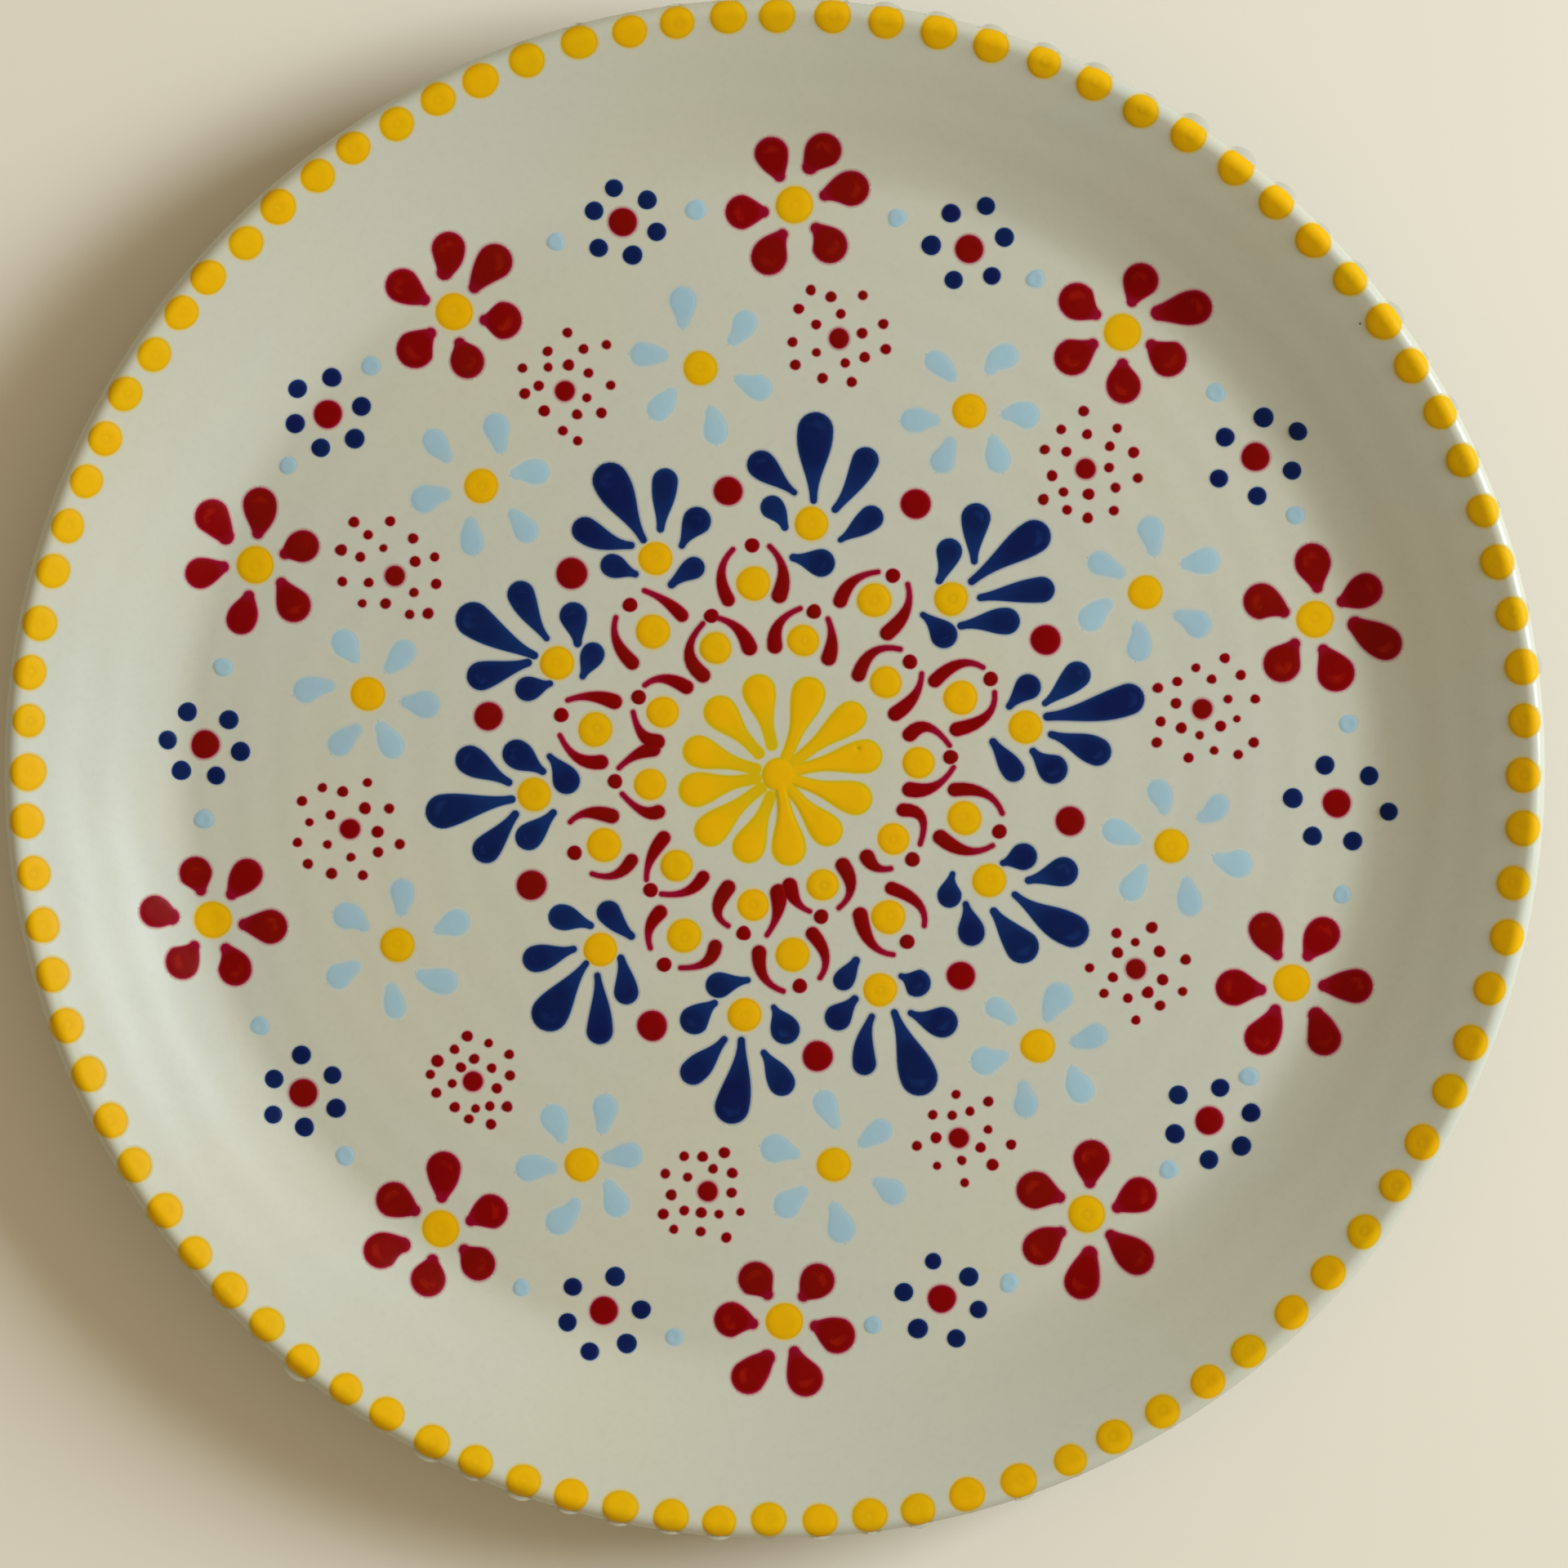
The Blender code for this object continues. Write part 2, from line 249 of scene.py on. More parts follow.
def makeDrops(name, centres, radii, look):
    # A drop is a profile turned about its own middle. Its height is the cap, less a dimple ring left by
    # the nozzle, and outside the edge a thin skirt of paint runs out just under the glaze.
    centres, radii = np.asarray(centres, float).reshape(-1, 2), np.asarray(radii, float).reshape(-1)
    count, sides = len(radii), look["sides"]
    rho = np.array(look["rows"])
    turn = np.linspace(0, 2 * math.pi, sides, endpoint=False) + 0.2
    sway = hand.normal(0, 1, (count, 4)) * look["wobble"]
    outline = 1 + sum(
        sway[:, k, None] * np.cos((k // 2 + 2) * turn[None] + (k % 2) * math.pi / 2) for k in range(4)
    )
    dimple = look["dimple"] * (1 + 0.3 * hand.normal(0, 1, count))
    off = hand.normal(0, 0.06, (count, 2))        # the dimple is seldom in the very middle
    x = rho[None, :, None] * np.cos(turn) * outline[:, None]
    y = rho[None, :, None] * np.sin(turn) * outline[:, None]
    fromDimple = np.hypot(x - off[:, 0, None, None], y - off[:, 1, None, None])
    ringAt, ringWidth = look["dimpleRing"], look["dimpleWidth"]
    groove = dimple[:, None, None] * np.exp(-(((fromDimple - ringAt) / ringWidth) ** 2))
    tall = look["height"] * (radii / look["nominal"]) ** 0.5 * (1 + 0.07 * hand.normal(0, 1, count))
    low, cap = look["film"], paintCap(rho)[None, :, None]
    lift = low + (tall[:, None, None] - low) * (cap - groove)
    # the dimple ring takes the colour towards the thin paint: partly thinner paint, partly painted shade, a
    # darker ring on the yellow drops
    film = np.minimum(filmEdge + (1 - filmEdge) * cap - groove * look["dimpleThinAndShade"], filmTop)
    grown = 1 + skirt["out"][None, :, None] * (look["feather"] / radii)[:, None, None]
    xs, ys = grown * np.cos(turn) * outline[:, None], grown * np.sin(turn) * outline[:, None]
    skirtLift = np.broadcast_to(skirt["lift"][None, :, None], xs.shape)
    skirtFilm = np.broadcast_to(skirt["film"][None, :, None], xs.shape)
    x, y = np.concatenate([x, xs], 1), np.concatenate([y, ys], 1)
    lift = np.concatenate([lift, skirtLift], 1)
    film = np.concatenate([film, skirtFilm], 1)
    local = np.stack([x, y], -1) * radii[:, None, None, None]
    plan = layOut(centres, local)
    crown = low + (tall - low) * (1 - dimple * np.exp(-(((np.hypot(*off.T) - ringAt) / ringWidth) ** 2)))
    batch = np.broadcast_to(hand.random(count)[:, None, None], lift.shape)
    return shellMesh(
        name, ontoGlaze(plan, lift), ontoGlaze(centres, crown), ontoGlaze(centres, np.full(count, -sunk)),
        {"film": joinMarks(film, film[:, 0].mean(1), np.zeros(count)),
         "batch": joinMarks(batch, batch[:, 0, 0], batch[:, 0, 0])},
    )


def layOut(centres, local):
    # on the rim's slope a round deposit looks narrower from above, along the line to the plate's middle
    r = np.maximum(np.linalg.norm(centres, axis=-1), 1e-6)
    outward = centres / r[:, None]
    squash = np.cos(glazeTilt(r))
    along = np.einsum("nijk,nk->nij", local, outward)
    shrunk = local - along[..., None] * (1 - squash)[:, None, None, None] * outward[:, None, None, :]
    return centres[:, None, None, :] + shrunk


comma = dict(away=0.5, width=0.17)   # the faint curl in a wet head, as shares of the head's radius


def makeStrokes(name, strokes, look):
    # A stroke is an oval section carried along a bent line from its thin tail to its round head. Each
    # stroke has plan points tail, bend and head, of which bend is half way, and tailRadius and headRadius.
    tail, bend, head = (np.asarray([s[k] for s in strokes], float) for k in ("tail", "bend", "head"))
    thin, fat = (np.asarray([s[k] for s in strokes], float) for k in ("tailRadius", "headRadius"))
    count = len(strokes)
    pull = 2 * bend - (tail + head) / 2
    capTail, capHead = np.radians(look["tailCap"]), np.radians(look["headCap"])
    body = np.linspace(0, 1, look["steps"])
    share = np.concatenate([np.zeros(len(capTail)), body, np.ones(len(capHead))])
    run = np.concatenate([-np.cos(capTail), np.zeros(len(body)), np.cos(capHead)])
    wide = np.concatenate([np.sin(capTail), np.ones(len(body)), np.sin(capHead)])
    s = share[None, :, None]
    line = tail[:, None] * (1 - s) ** 2 + pull[:, None] * 2 * (1 - s) * s + head[:, None] * s**2
    along = (pull - tail)[:, None] * (1 - s) + (head - pull)[:, None] * s
    along /= np.linalg.norm(along, axis=-1)[..., None]
    swell = np.sin(share * math.pi / 2) ** look["taper"]
    uneven = 1 + look["wobble"] * np.sin(
        hand.uniform(0, 6.28, (count, 1)) + share[None] * hand.uniform(3, 6, (count, 1))
    )
    radius = (thin[:, None] + (fat - thin)[:, None] * swell[None]) * uneven
    left = np.stack([-along[..., 1], along[..., 0]], -1)
    q = np.array(look["across"])
    side = q[None, None] * (wide * radius)[..., None]
    spread = look["feather"]
    grown = radius[..., None] + skirt["out"] * spread
    sideSkirt = wide[None, :, None] * grown
    lineSkirt = line[:, :, None] + along[:, :, None] * (run[None, :, None] * grown)[..., None]
    line = line + along * (run[None] * radius)[..., None]
    rho = np.sqrt(run[None, :, None] ** 2 + (q[None, None] * wide[None, :, None]) ** 2)
    tall = look["height"] * (radius / look["nominal"]) ** look["thinning"]
    low = look["film"]
    # the dimple sits in the head, and a faint comma curls round it
    headward = (line - head[:, None]) / fat[:, None, None]
    ahead = np.einsum("nik,nik->ni", headward, np.broadcast_to(along[:, -1:], headward.shape))[..., None]
    aside = np.einsum("nik,nik->ni", headward, np.broadcast_to(left[:, -1:], headward.shape))[..., None]
    aside = aside + side / fat[:, None, None]
    fromHead = np.hypot(ahead + 0.1, aside)
    curl = np.arctan2(aside, ahead) + hand.uniform(-0.8, 0.8, (count, 1, 1))
    dimple = look["dimple"] * (1 + 0.4 * hand.normal(0, 1, (count, 1, 1)))
    groove = dimple * np.exp(-((fromHead / look["dimpleWidth"]) ** 2))
    swirl = np.exp(-(((fromHead - comma["away"]) / comma["width"]) ** 2)) * np.clip(np.cos(curl), 0, 1) ** 0.5
    groove = groove + look["comma"] * swirl
    cap = paintCap(rho)
    lift = low + (tall[..., None] - low) * cap * (1 - groove)
    fullness = np.clip(tall[..., None] / look["height"], 0, 1.15) ** 1.5
    film = np.minimum(filmEdge + (1 - filmEdge) * cap * fullness - groove * 0.5, filmTop)
    # the glint colour is a painted highlight: the film mark is raised along the comma's curl
    film = film + look["glint"] * swirl * np.clip(cap * 2 - 1, 0, 1)
    skirtLift = np.broadcast_to(skirt["lift"], sideSkirt.shape)
    skirtFilm = np.broadcast_to(skirt["film"], sideSkirt.shape)
    none = np.zeros(side[..., :1].shape)
    liftAll = np.concatenate([skirtLift[..., ::-1], lift, skirtLift, none - sunk], -1)
    filmAll = np.concatenate([skirtFilm[..., ::-1], film, skirtFilm, none], -1)
    sideways = left[:, :, None]
    local = np.concatenate([
        lineSkirt[:, :, ::-1] - sideways * sideSkirt[..., ::-1, None],
        line[:, :, None] + sideways * side[..., None],
        lineSkirt + sideways * sideSkirt[..., None],
        line[:, :, None]], 2)
    mid = (tail + head) / 2
    plan = layOut(mid, local - mid[:, None, None])
    # the two ends close on the first skirt loop
    past = spread * skirt["out"][0]
    tips = [tail - along[:, 0] * (radius[:, :1] + past), head + along[:, -1] * (radius[:, -1:] + past)]
    batch = np.broadcast_to(hand.random(count)[:, None, None], liftAll.shape)
    tipLift, tipFilm = np.full(count, skirt["lift"][0]), np.full(count, skirt["film"][0])
    first, lastOne = (ontoGlaze(layOut(mid, (tip - mid)[:, None, None])[:, 0, 0], tipLift) for tip in tips)
    return shellMesh(
        name, ontoGlaze(plan, liftAll), first, lastOne,
        {"film": joinMarks(filmAll, tipFilm, tipFilm),
         "batch": joinMarks(batch, batch[:, 0, 0], batch[:, 0, 0])},
    )


def bentStroke(tail, head, bow, tailRadius, headRadius):
    # the middle is pushed sideways off the straight line by bow times the stroke's length
    line = head - tail
    bend = (tail + head) / 2 + bow * np.array([-line[1], line[0]])
    return dict(tail=tail, bend=bend, head=head, tailRadius=tailRadius, headRadius=headRadius)


def centreOf(node):
    low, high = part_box(node)
    middle = (low + high) / 2 / mm
    return np.array([middle.x, middle.y])


def polar(degrees, r):
    a = np.radians(degrees)
    return np.stack([np.cos(a) * r, np.sin(a) * r], -1)


def motifAxes(centre):
    # a motif is drawn with its top away from the plate's middle: right is clockwise, up is outward
    outward = centre / np.linalg.norm(centre)
    return np.array([outward[1], -outward[0]]), outward


def inMotif(centre, points):
    right, outward = motifAxes(centre)
    points = np.asarray(points, float)
    return centre + points[..., :1] * right + points[..., 1:] * outward


def headingPoint(heading, reach):
    # heading is clockwise from outward
    a = np.radians(heading)
    return np.stack([np.sin(a) * reach, np.cos(a) * reach], -1)


# finishes
def newFinish(name):
    finish = bpy.data.materials.new(name)
    finish.use_nodes = True
    tree = finish.node_tree
    return finish, tree, tree.nodes["Principled BSDF"]


def addNoise(tree, place, scale, detail, roughness=0.5):
    noise = tree.nodes.new("ShaderNodeTexNoise")
    noise.inputs["Scale"].default_value = scale
    noise.inputs["Detail"].default_value = detail
    noise.inputs["Roughness"].default_value = roughness
    tree.links.new(place, noise.inputs["Vector"])
    return noise.outputs["Fac"]


def addRange(tree, value, low, high, newLow, newHigh):
    spread = tree.nodes.new("ShaderNodeMapRange")
    for socket, number in zip(("From Min", "From Max", "To Min", "To Max"), (low, high, newLow, newHigh)):
        spread.inputs[socket].default_value = number
    tree.links.new(value, spread.inputs["Value"])
    return spread.outputs["Result"]


def addRamp(tree, value, stops):
    ramp = tree.nodes.new("ShaderNodeValToRGB")
    ramp.color_ramp.interpolation = "LINEAR"
    while len(ramp.color_ramp.elements) < len(stops):
        ramp.color_ramp.elements.new(0.5)
    for element, (at, colour) in zip(ramp.color_ramp.elements, stops):
        element.position = at
        element.color = (*colour, 1)
    tree.links.new(value, ramp.inputs["Fac"])
    return ramp.outputs["Color"]


def addMix(tree, share, first, second, blend="MIX"):
    mix = tree.nodes.new("ShaderNodeMix")
    mix.data_type, mix.blend_type = "RGBA", blend
    for socket, value in ((mix.inputs[0], share), (mix.inputs[6], first), (mix.inputs[7], second)):
        if isinstance(value, tuple):
            socket.default_value = (*value, 1)
        elif isinstance(value, (int, float)):
            socket.default_value = value
        else:
            tree.links.new(value, socket)
    return mix.outputs[2]


def addBump(tree, height, strength, distance, normal=None):
    bump = tree.nodes.new("ShaderNodeBump")
    bump.inputs["Strength"].default_value = strength
    bump.inputs["Distance"].default_value = distance
    tree.links.new(height, bump.inputs["Height"])
    if normal is not None:
        tree.links.new(normal, bump.inputs["Normal"])
    return bump.outputs["Normal"]


def addProduct(tree, first, second):
    product = tree.nodes.new("ShaderNodeMath")
    product.operation = "MULTIPLY"
    tree.links.new(first, product.inputs[0])
    tree.links.new(second, product.inputs[1])
    return product.outputs[0]


def addMark(tree, label):
    mark = tree.nodes.new("ShaderNodeAttribute")
    mark.attribute_name = label
    return mark.outputs["Fac"]


# scales are in turns of noise to the metre, and the bumps' depths are in metres
glaze = dict(
    warm=(0.485, 0.468, 0.364), cool=(0.465, 0.468, 0.386), mid=(0.475, 0.468, 0.375), cloudScale=22,
    grainScale=900, grain=(0.975, 1.02), speck=(0.09, 0.075, 0.06), speckScale=95, speckSize=(0.016, 0.03),
    speckFew=0.93, clay=(0.62, 0.50, 0.36), claySandScale=1600, clayRoughness=0.85, wiped=(0.0002, 0.0006),
    roughness=(0.26, 0.36), wetScale=60, ringScale=42, ringBump=0.1, ringDepth=0.0003,
    waveScale=40, waveDepth=0.0006, rippleScale=520, rippleDepth=0.00008, softBump=0.12,
)


def glazeFinish():
    finish, tree, shader = newFinish("creamGlaze")
    place = tree.nodes.new("ShaderNodeTexCoord").outputs["Object"]
    cloud = addRange(tree, addNoise(tree, place, glaze["cloudScale"], 3), 0.35, 0.65, 0, 1)
    colour = addMix(tree, cloud, glaze["warm"], glaze["cool"])
    grain = addNoise(tree, place, glaze["grainScale"], 2)
    shade = addRange(tree, grain, 0.3, 0.7, *glaze["grain"])
    shade = addRamp(tree, shade, [(0, (0, 0, 0)), (1, (1, 1, 1))])
    colour = addMix(tree, 1.0, colour, shade, "MULTIPLY")
    # a few dark specks of iron in the clay
    dots = tree.nodes.new("ShaderNodeTexVoronoi")
    dots.inputs["Scale"].default_value = glaze["speckScale"]
    tree.links.new(place, dots.inputs["Vector"])
    near = addRange(tree, dots.outputs["Distance"], *glaze["speckSize"], 1, 0)
    few = tree.nodes.new("ShaderNodeMath")
    few.operation = "GREATER_THAN"
    few.inputs[1].default_value = glaze["speckFew"]
    split = tree.nodes.new("ShaderNodeSeparateColor")
    tree.links.new(dots.outputs["Color"], split.inputs["Color"])
    tree.links.new(split.outputs["Red"], few.inputs[0])
    speckled = addProduct(tree, near, few.outputs[0])
    colour = addMix(tree, speckled, colour, glaze["speck"])
    # the foot's contact face is wiped clean of glaze
    xyz = tree.nodes.new("ShaderNodeSeparateXYZ")
    tree.links.new(place, xyz.inputs[0])
    bare = addRange(tree, xyz.outputs["Z"], *glaze["wiped"], 1, 0)
    claySand = addNoise(tree, place, glaze["claySandScale"], 4, 0.7)
    clay = addMix(tree, claySand, tuple(c * 0.8 for c in glaze["clay"]), glaze["clay"])
    colour = addMix(tree, bare, colour, clay)
    tree.links.new(colour, shader.inputs["Base Color"])
    wet = addNoise(tree, place, glaze["wetScale"], 3)
    wet = addRange(tree, wet, 0.3, 0.7, *glaze["roughness"])
    rough = tree.nodes.new("ShaderNodeMix")
    rough.inputs[3].default_value = glaze["clayRoughness"]
    tree.links.new(bare, rough.inputs[0])
    tree.links.new(wet, rough.inputs[2])
    tree.links.new(rough.outputs[0], shader.inputs["Roughness"])
    wave = addNoise(tree, place, glaze["waveScale"], 2)
    normal = addBump(tree, wave, glaze["softBump"], glaze["waveDepth"])
    rings = tree.nodes.new("ShaderNodeTexWave")   # the thrower's finger rings, all but sunk in the glaze
    rings.wave_type, rings.rings_direction = "RINGS", "Z"
    rings.inputs["Scale"].default_value = glaze["ringScale"]
    rings.inputs["Distortion"].default_value = 1.5
    tree.links.new(place, rings.inputs["Vector"])
    normal = addBump(tree, rings.outputs["Fac"], glaze["ringBump"], glaze["ringDepth"], normal)
    ripple = addNoise(tree, place, glaze["rippleScale"], 2)
    normal = addBump(tree, ripple, glaze["softBump"], glaze["rippleDepth"], normal)
    tree.links.new(normal, shader.inputs["Normal"])
    return finish


paintTexture = dict(roughScale=420, bumpScale=1400, bumpDepth=0.00006)


def paintFinish(name, look):
    # The mark "film" says how thick the paint lies. Where it runs out the colour goes through its thin colour
    # to a stained halo and ends as glaze, and the marks over 0.9 take the glint colour, a painted highlight in
    # the comma of a wet head. "batch" is each deposit's own small difference.
    finish, tree, shader = newFinish(name)
    place = tree.nodes.new("ShaderNodeTexCoord").outputs["Object"]
    film, batch, thick = addMark(tree, "film"), addMark(tree, "batch"), look["thick"]
    colour = addRamp(tree, film, [
        (0.0, glaze["mid"]), (0.14, look["halo"]), (0.32, look["thin"]), (look["full"], thick),
        (filmTop + 0.01, thick), (1.0, look.get("glint", thick)),
    ])
    mottle = addNoise(tree, place, look["mottleScale"], 3)
    deeper = tuple(c * look["mottle"] for c in thick)
    share = addRange(tree, mottle, 0.45, 0.75, 0, 0.6)
    share = addProduct(tree, share, addRange(tree, film, 0.3, 0.6, 0, 1))
    colour = addMix(tree, share, colour, deeper)
    tint = tree.nodes.new("ShaderNodeHueSaturation")
    hue, value = look["hue"], look["value"]
    tree.links.new(addRange(tree, batch, 0, 1, 0.5 - hue, 0.5 + hue), tint.inputs["Hue"])
    tree.links.new(addRange(tree, batch, 0, 1, 1 + value, 1 - value), tint.inputs["Value"])
    tree.links.new(colour, tint.inputs["Color"])
    tree.links.new(tint.outputs["Color"], shader.inputs["Base Color"])
    rough = addNoise(tree, place, paintTexture["roughScale"], 2)
    tree.links.new(addRange(tree, rough, 0.3, 0.7, *look["roughness"]), shader.inputs["Roughness"])
    grit = addNoise(tree, place, paintTexture["bumpScale"], 2)
    tree.links.new(addBump(tree, grit, look["bump"], paintTexture["bumpDepth"]), shader.inputs["Normal"])
    shader.inputs["Specular IOR Level"].default_value = look["shine"]
    return finish


print("finishes")
paints = dict(
    yellowPaint=dict(
        thick=(0.645, 0.352, 0.0), thin=(0.56, 0.315, 0.002), halo=(0.51, 0.43, 0.19), full=0.84,
        mottleScale=260, mottle=0.93, hue=0.003, value=0.03, roughness=(0.4, 0.52), bump=0.12, shine=0.07),
    mustardPaint=dict(
        thick=(0.66, 0.36, 0.0), thin=(0.495, 0.36, 0.002), halo=(0.49, 0.43, 0.18), full=0.85,
        mottleScale=240, mottle=0.93, hue=0.002, value=0.02, roughness=(0.4, 0.52), bump=0.12, shine=0.07),
    redPaint=dict(
        thick=(0.174, 0.0006, 0.0), thin=(0.27, 0.003, 0.034), halo=(0.40, 0.26, 0.22), full=0.68,
        # glint: the colour of a painted highlight in the wet head
        glint=(0.29, 0.009, 0.002),
        mottleScale=300, mottle=0.85, hue=0.0012, value=0.06, roughness=(0.32, 0.42), bump=0.08, shine=0.055),
    navyPaint=dict(
        thick=(0.002, 0.0085, 0.06), thin=(0.004, 0.024, 0.12), halo=(0.33, 0.35, 0.33), full=0.88,
        # glint: the colour of a painted highlight in the wet head
        glint=(0.006, 0.024, 0.12),
        mottleScale=280, mottle=0.75, hue=0.004, value=0.08, roughness=(0.3, 0.4), bump=0.08, shine=0.09),
    skyPaint=dict(
        thick=(0.283, 0.424, 0.49), thin=(0.33, 0.435, 0.455), halo=(0.435, 0.46, 0.40), full=0.8,
        mottleScale=240, mottle=0.95, hue=0.003, value=0.03, roughness=(0.45, 0.6), bump=0.12, shine=0.12),
)
creamGlaze = glazeFinish()
yellowPaint, mustardPaint, redPaint, navyPaint, skyPaint = (
    paintFinish(name, look) for name, look in paints.items())


def place(thing, finish, *nodes):
    # every piece rides on the plate, wears one finish, and may stand for CAD solids
    thing.data.materials.append(finish)
    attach(thing, "root")
    if nodes:
        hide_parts(*nodes)
    return thing


roundDrop = dict(
    sides=24, rows=(0.12, 0.24, 0.36, 0.5, 0.64, 0.76, 0.86, 0.94, 1.0), nominal=2.7, height=0.42,
    film=0.07, feather=0.75, wobble=0.008, dimple=0.13, dimpleRing=0.26, dimpleWidth=0.13, dimpleThinAndShade=2.8,
)
smallDrop = dict(
    sides=14, rows=(0.5, 0.85, 1.0), nominal=0.85, height=0.28,
    film=0.06, feather=0.38, wobble=0.015, dimple=0.0, dimpleRing=0.0, dimpleWidth=0.3, dimpleThinAndShade=0.0,
)

plainDrop = dict(roundDrop, dimple=0.04)
petal = dict(
    tailCap=(12, 38, 65), headCap=(74, 58, 42, 25, 8), across=(-1, -0.92, -0.78, -0.5, 0, 0.5, 0.78, 0.92, 1),
)

print("plate")
place(makePlate(), creamGlaze, "plate_body")

tenth = 36   # each kind of flower comes ten times round the plate


def waves(degrees, table):
    # the sum of size times the sine of so many turns of the angle plus a shift
    return sum(size * np.sin(np.radians(times * degrees + shift)) for size, times, shift in table)


print("rim drops")
rimRow = dict(
    count=91, radius=121.9, start=-0.7, shift=-0.1, drop=2.72,
    drift=((2.7, 1, 0), (0.4, 1, 90), (0.55, 3, 123)), crowding=((-0.32, 2, 90), (0.38, 2, 0)),
    outward=((0.61, 2, -35), (0.16, 1, 68)), unsteady=(0.1, 0.2, 0.03),
)
step = 360 / rimRow["count"] * np.arange(rimRow["count"])
turned = step
for again in range(3):   # the painter's spacing drifts slowly round the rim
    turned = step + rimRow["start"] + waves(turned, rimRow["drift"])
turned = turned + rimRow["shift"] + waves(turned, rimRow["crowding"])
turned = turned + hand.normal(0, rimRow["unsteady"][0], rimRow["count"])
outTo = rimRow["radius"] + waves(turned, rimRow["outward"])
outTo = outTo + hand.normal(0, rimRow["unsteady"][1], rimRow["count"])
sizes = rimRow["drop"] * (1 + hand.normal(0, rimRow["unsteady"][2], rimRow["count"]))
place(makeDrops("rimDrops", polar(turned, outTo), sizes, roundDrop), yellowPaint)

print("inner and outer arches")
# one row for each arch: the strokes' tail, middle and head on the left and on the right, and the small
# drop at the top, all as right and outward from the yellow drop
arches = dict(
    inner=dict(
        ring=22.0, start=6, drop=2.46, wander=(
            (-3.5, 1.5), (-4, 1), (-0.5, -0.5), (2, 0), (3, -1.5), (1, -1.5), (2.5, 0.5), (3, 0.5),
            (-1.5, -1.5), (-0.5, 0.5),
        ),
        strokes=(
            (-2.6, 5.2, -5.7, 1.9, -4.7, -1.2, 1, 5.7, 4, 2.4, 4.3, -1.6, -0.7, 5.3),
            (-2.8, 5.2, -5.1, 1.6, -3.7, -2.7, 2.5, 5.5, 4.6, 2.4, 5, -1.9, -0.2, 5.2),
            (-1.6, 5, -4.4, 1.9, -4.3, -1.9, 3.2, 4.3, 4.5, 1.4, 4.7, -1.9, 0.7, 5),
            (-0.1, 4.5, -4.1, 1.4, -3.8, -3.1, 2.2, 4.5, 4.6, 1.4, 5, -2.4, 1.7, 5),
            (-2.2, 4.3, -4.7, 1.4, -4.7, -1.4, 2.6, 4.6, 4.9, 2.4, 5.4, -1.6, 0.4, 4.6),
            (-1, 4.7, -4.1, 1.8, -4.6, -0.8, 3.3, 4.7, 5, 1.8, 5.7, -1.2, 1.2, 5.6),
            (-1.6, 5, -4.2, 1.8, -4.4, -1.8, 1.8, 5.1, 3.7, 2.3, 4.7, -1.7, 0.1, 5.8),
            (-3, 4.5, -4.1, 0.9, -3.8, -2.7, 3.5, 4, 5.6, 1.8, 4.5, -2.2, 0.8, 4.8),
            (-1, 4.5, -4, 2.3, -4.3, -1.7, 3.6, 3.2, 5, 0.9, 5, -2, 2.2, 4.7),
            (-1.5, 4.2, -5.3, 2.3, -4.9, -1, 4.4, 2.1, 5.4, 0, 4.7, -2.2, 1.3, 4.4),
        ),
    ),
    outer=dict(
        ring=30.5, start=23, drop=2.66, wander=(
            (-2, 2), (0.5, 1.5), (1.5, 0), (0.5, -0.5), (0.5, -0.5), (1, 0), (2.5, 0.5), (0.5, 0), (-3.5, 0),
            (-1.5, 1.5),
        ),
        strokes=(
            (-3.3, 5.2, -5.2, 1.9, -4.1, -2.9, 1.2, 5.5, 4.3, 2.9, 4.6, -2.4, -1.1, 5.7),
            (-1.8, 4.3, -4.5, 1, -4.7, -2.9, 3.4, 5, 5.3, 1.4, 4.6, -3.5, 0.6, 5),
            (-2.7, 5.9, -5, 2.4, -4.4, -2.2, 3.3, 5.7, 5, 1.9, 4, -2.4, 0.5, 6.2),
            (-3, 5.7, -5.4, 2.9, -5.9, -1.6, 3.4, 5.9, 4.8, 2.4, 5.3, -1.2, 0.1, 5.7),
            (-2.2, 5.4, -5.1, 1.9, -5, -2.1, 3.7, 5.4, 5.1, 1.9, 5.1, -2.1, 1.1, 5.9),
            (-3.5, 3.7, -5.2, 0.4, -4.1, -3.1, 5.7, 3.5, 5.9, 0.4, 3.8, -3.1, 0.8, 4.9),
            (-2, 4.9, -5.1, 2.3, -5.3, -0.9, 3.9, 4.4, 5.5, 1.8, 5.3, -1.5, 0.6, 5.7),
            (-4.1, 4.2, -5.3, 0.9, -3.6, -3.1, 2.1, 5.8, 5, 3.2, 5.4, -0.9, -0.7, 5.2),
            (-3.8, 4.7, -5.2, 1.3, -3.3, -3.4, 3.1, 5.4, 4.8, 1.8, 3.4, -3.1, 0, 5.1),
            (-2.3, 5.8, -4.7, 2.3, -4.1, -2.7, 3.2, 5.6, 5.1, 1.8, 4, -3, 0.7, 6.1),
        ),
    ),
)
archStroke = dict(
    tailCap=(12, 38, 65), headCap=(70, 50, 30, 10), steps=9, taper=2.5, across=(-1, -0.8, -0.4, 0, 0.4, 0.8, 1),
    nominal=1.0, height=0.34, thinning=1.0, film=0.06, feather=0.6, wobble=0.04, dimple=0.0, dimpleWidth=0.4,
    comma=0.0, glint=0.0, tail=0.33, head=1.08, drop=1.12,
)
archTip = dict(smallDrop, sides=16, rows=(0.4, 0.7, 0.88, 1.0), height=0.32)
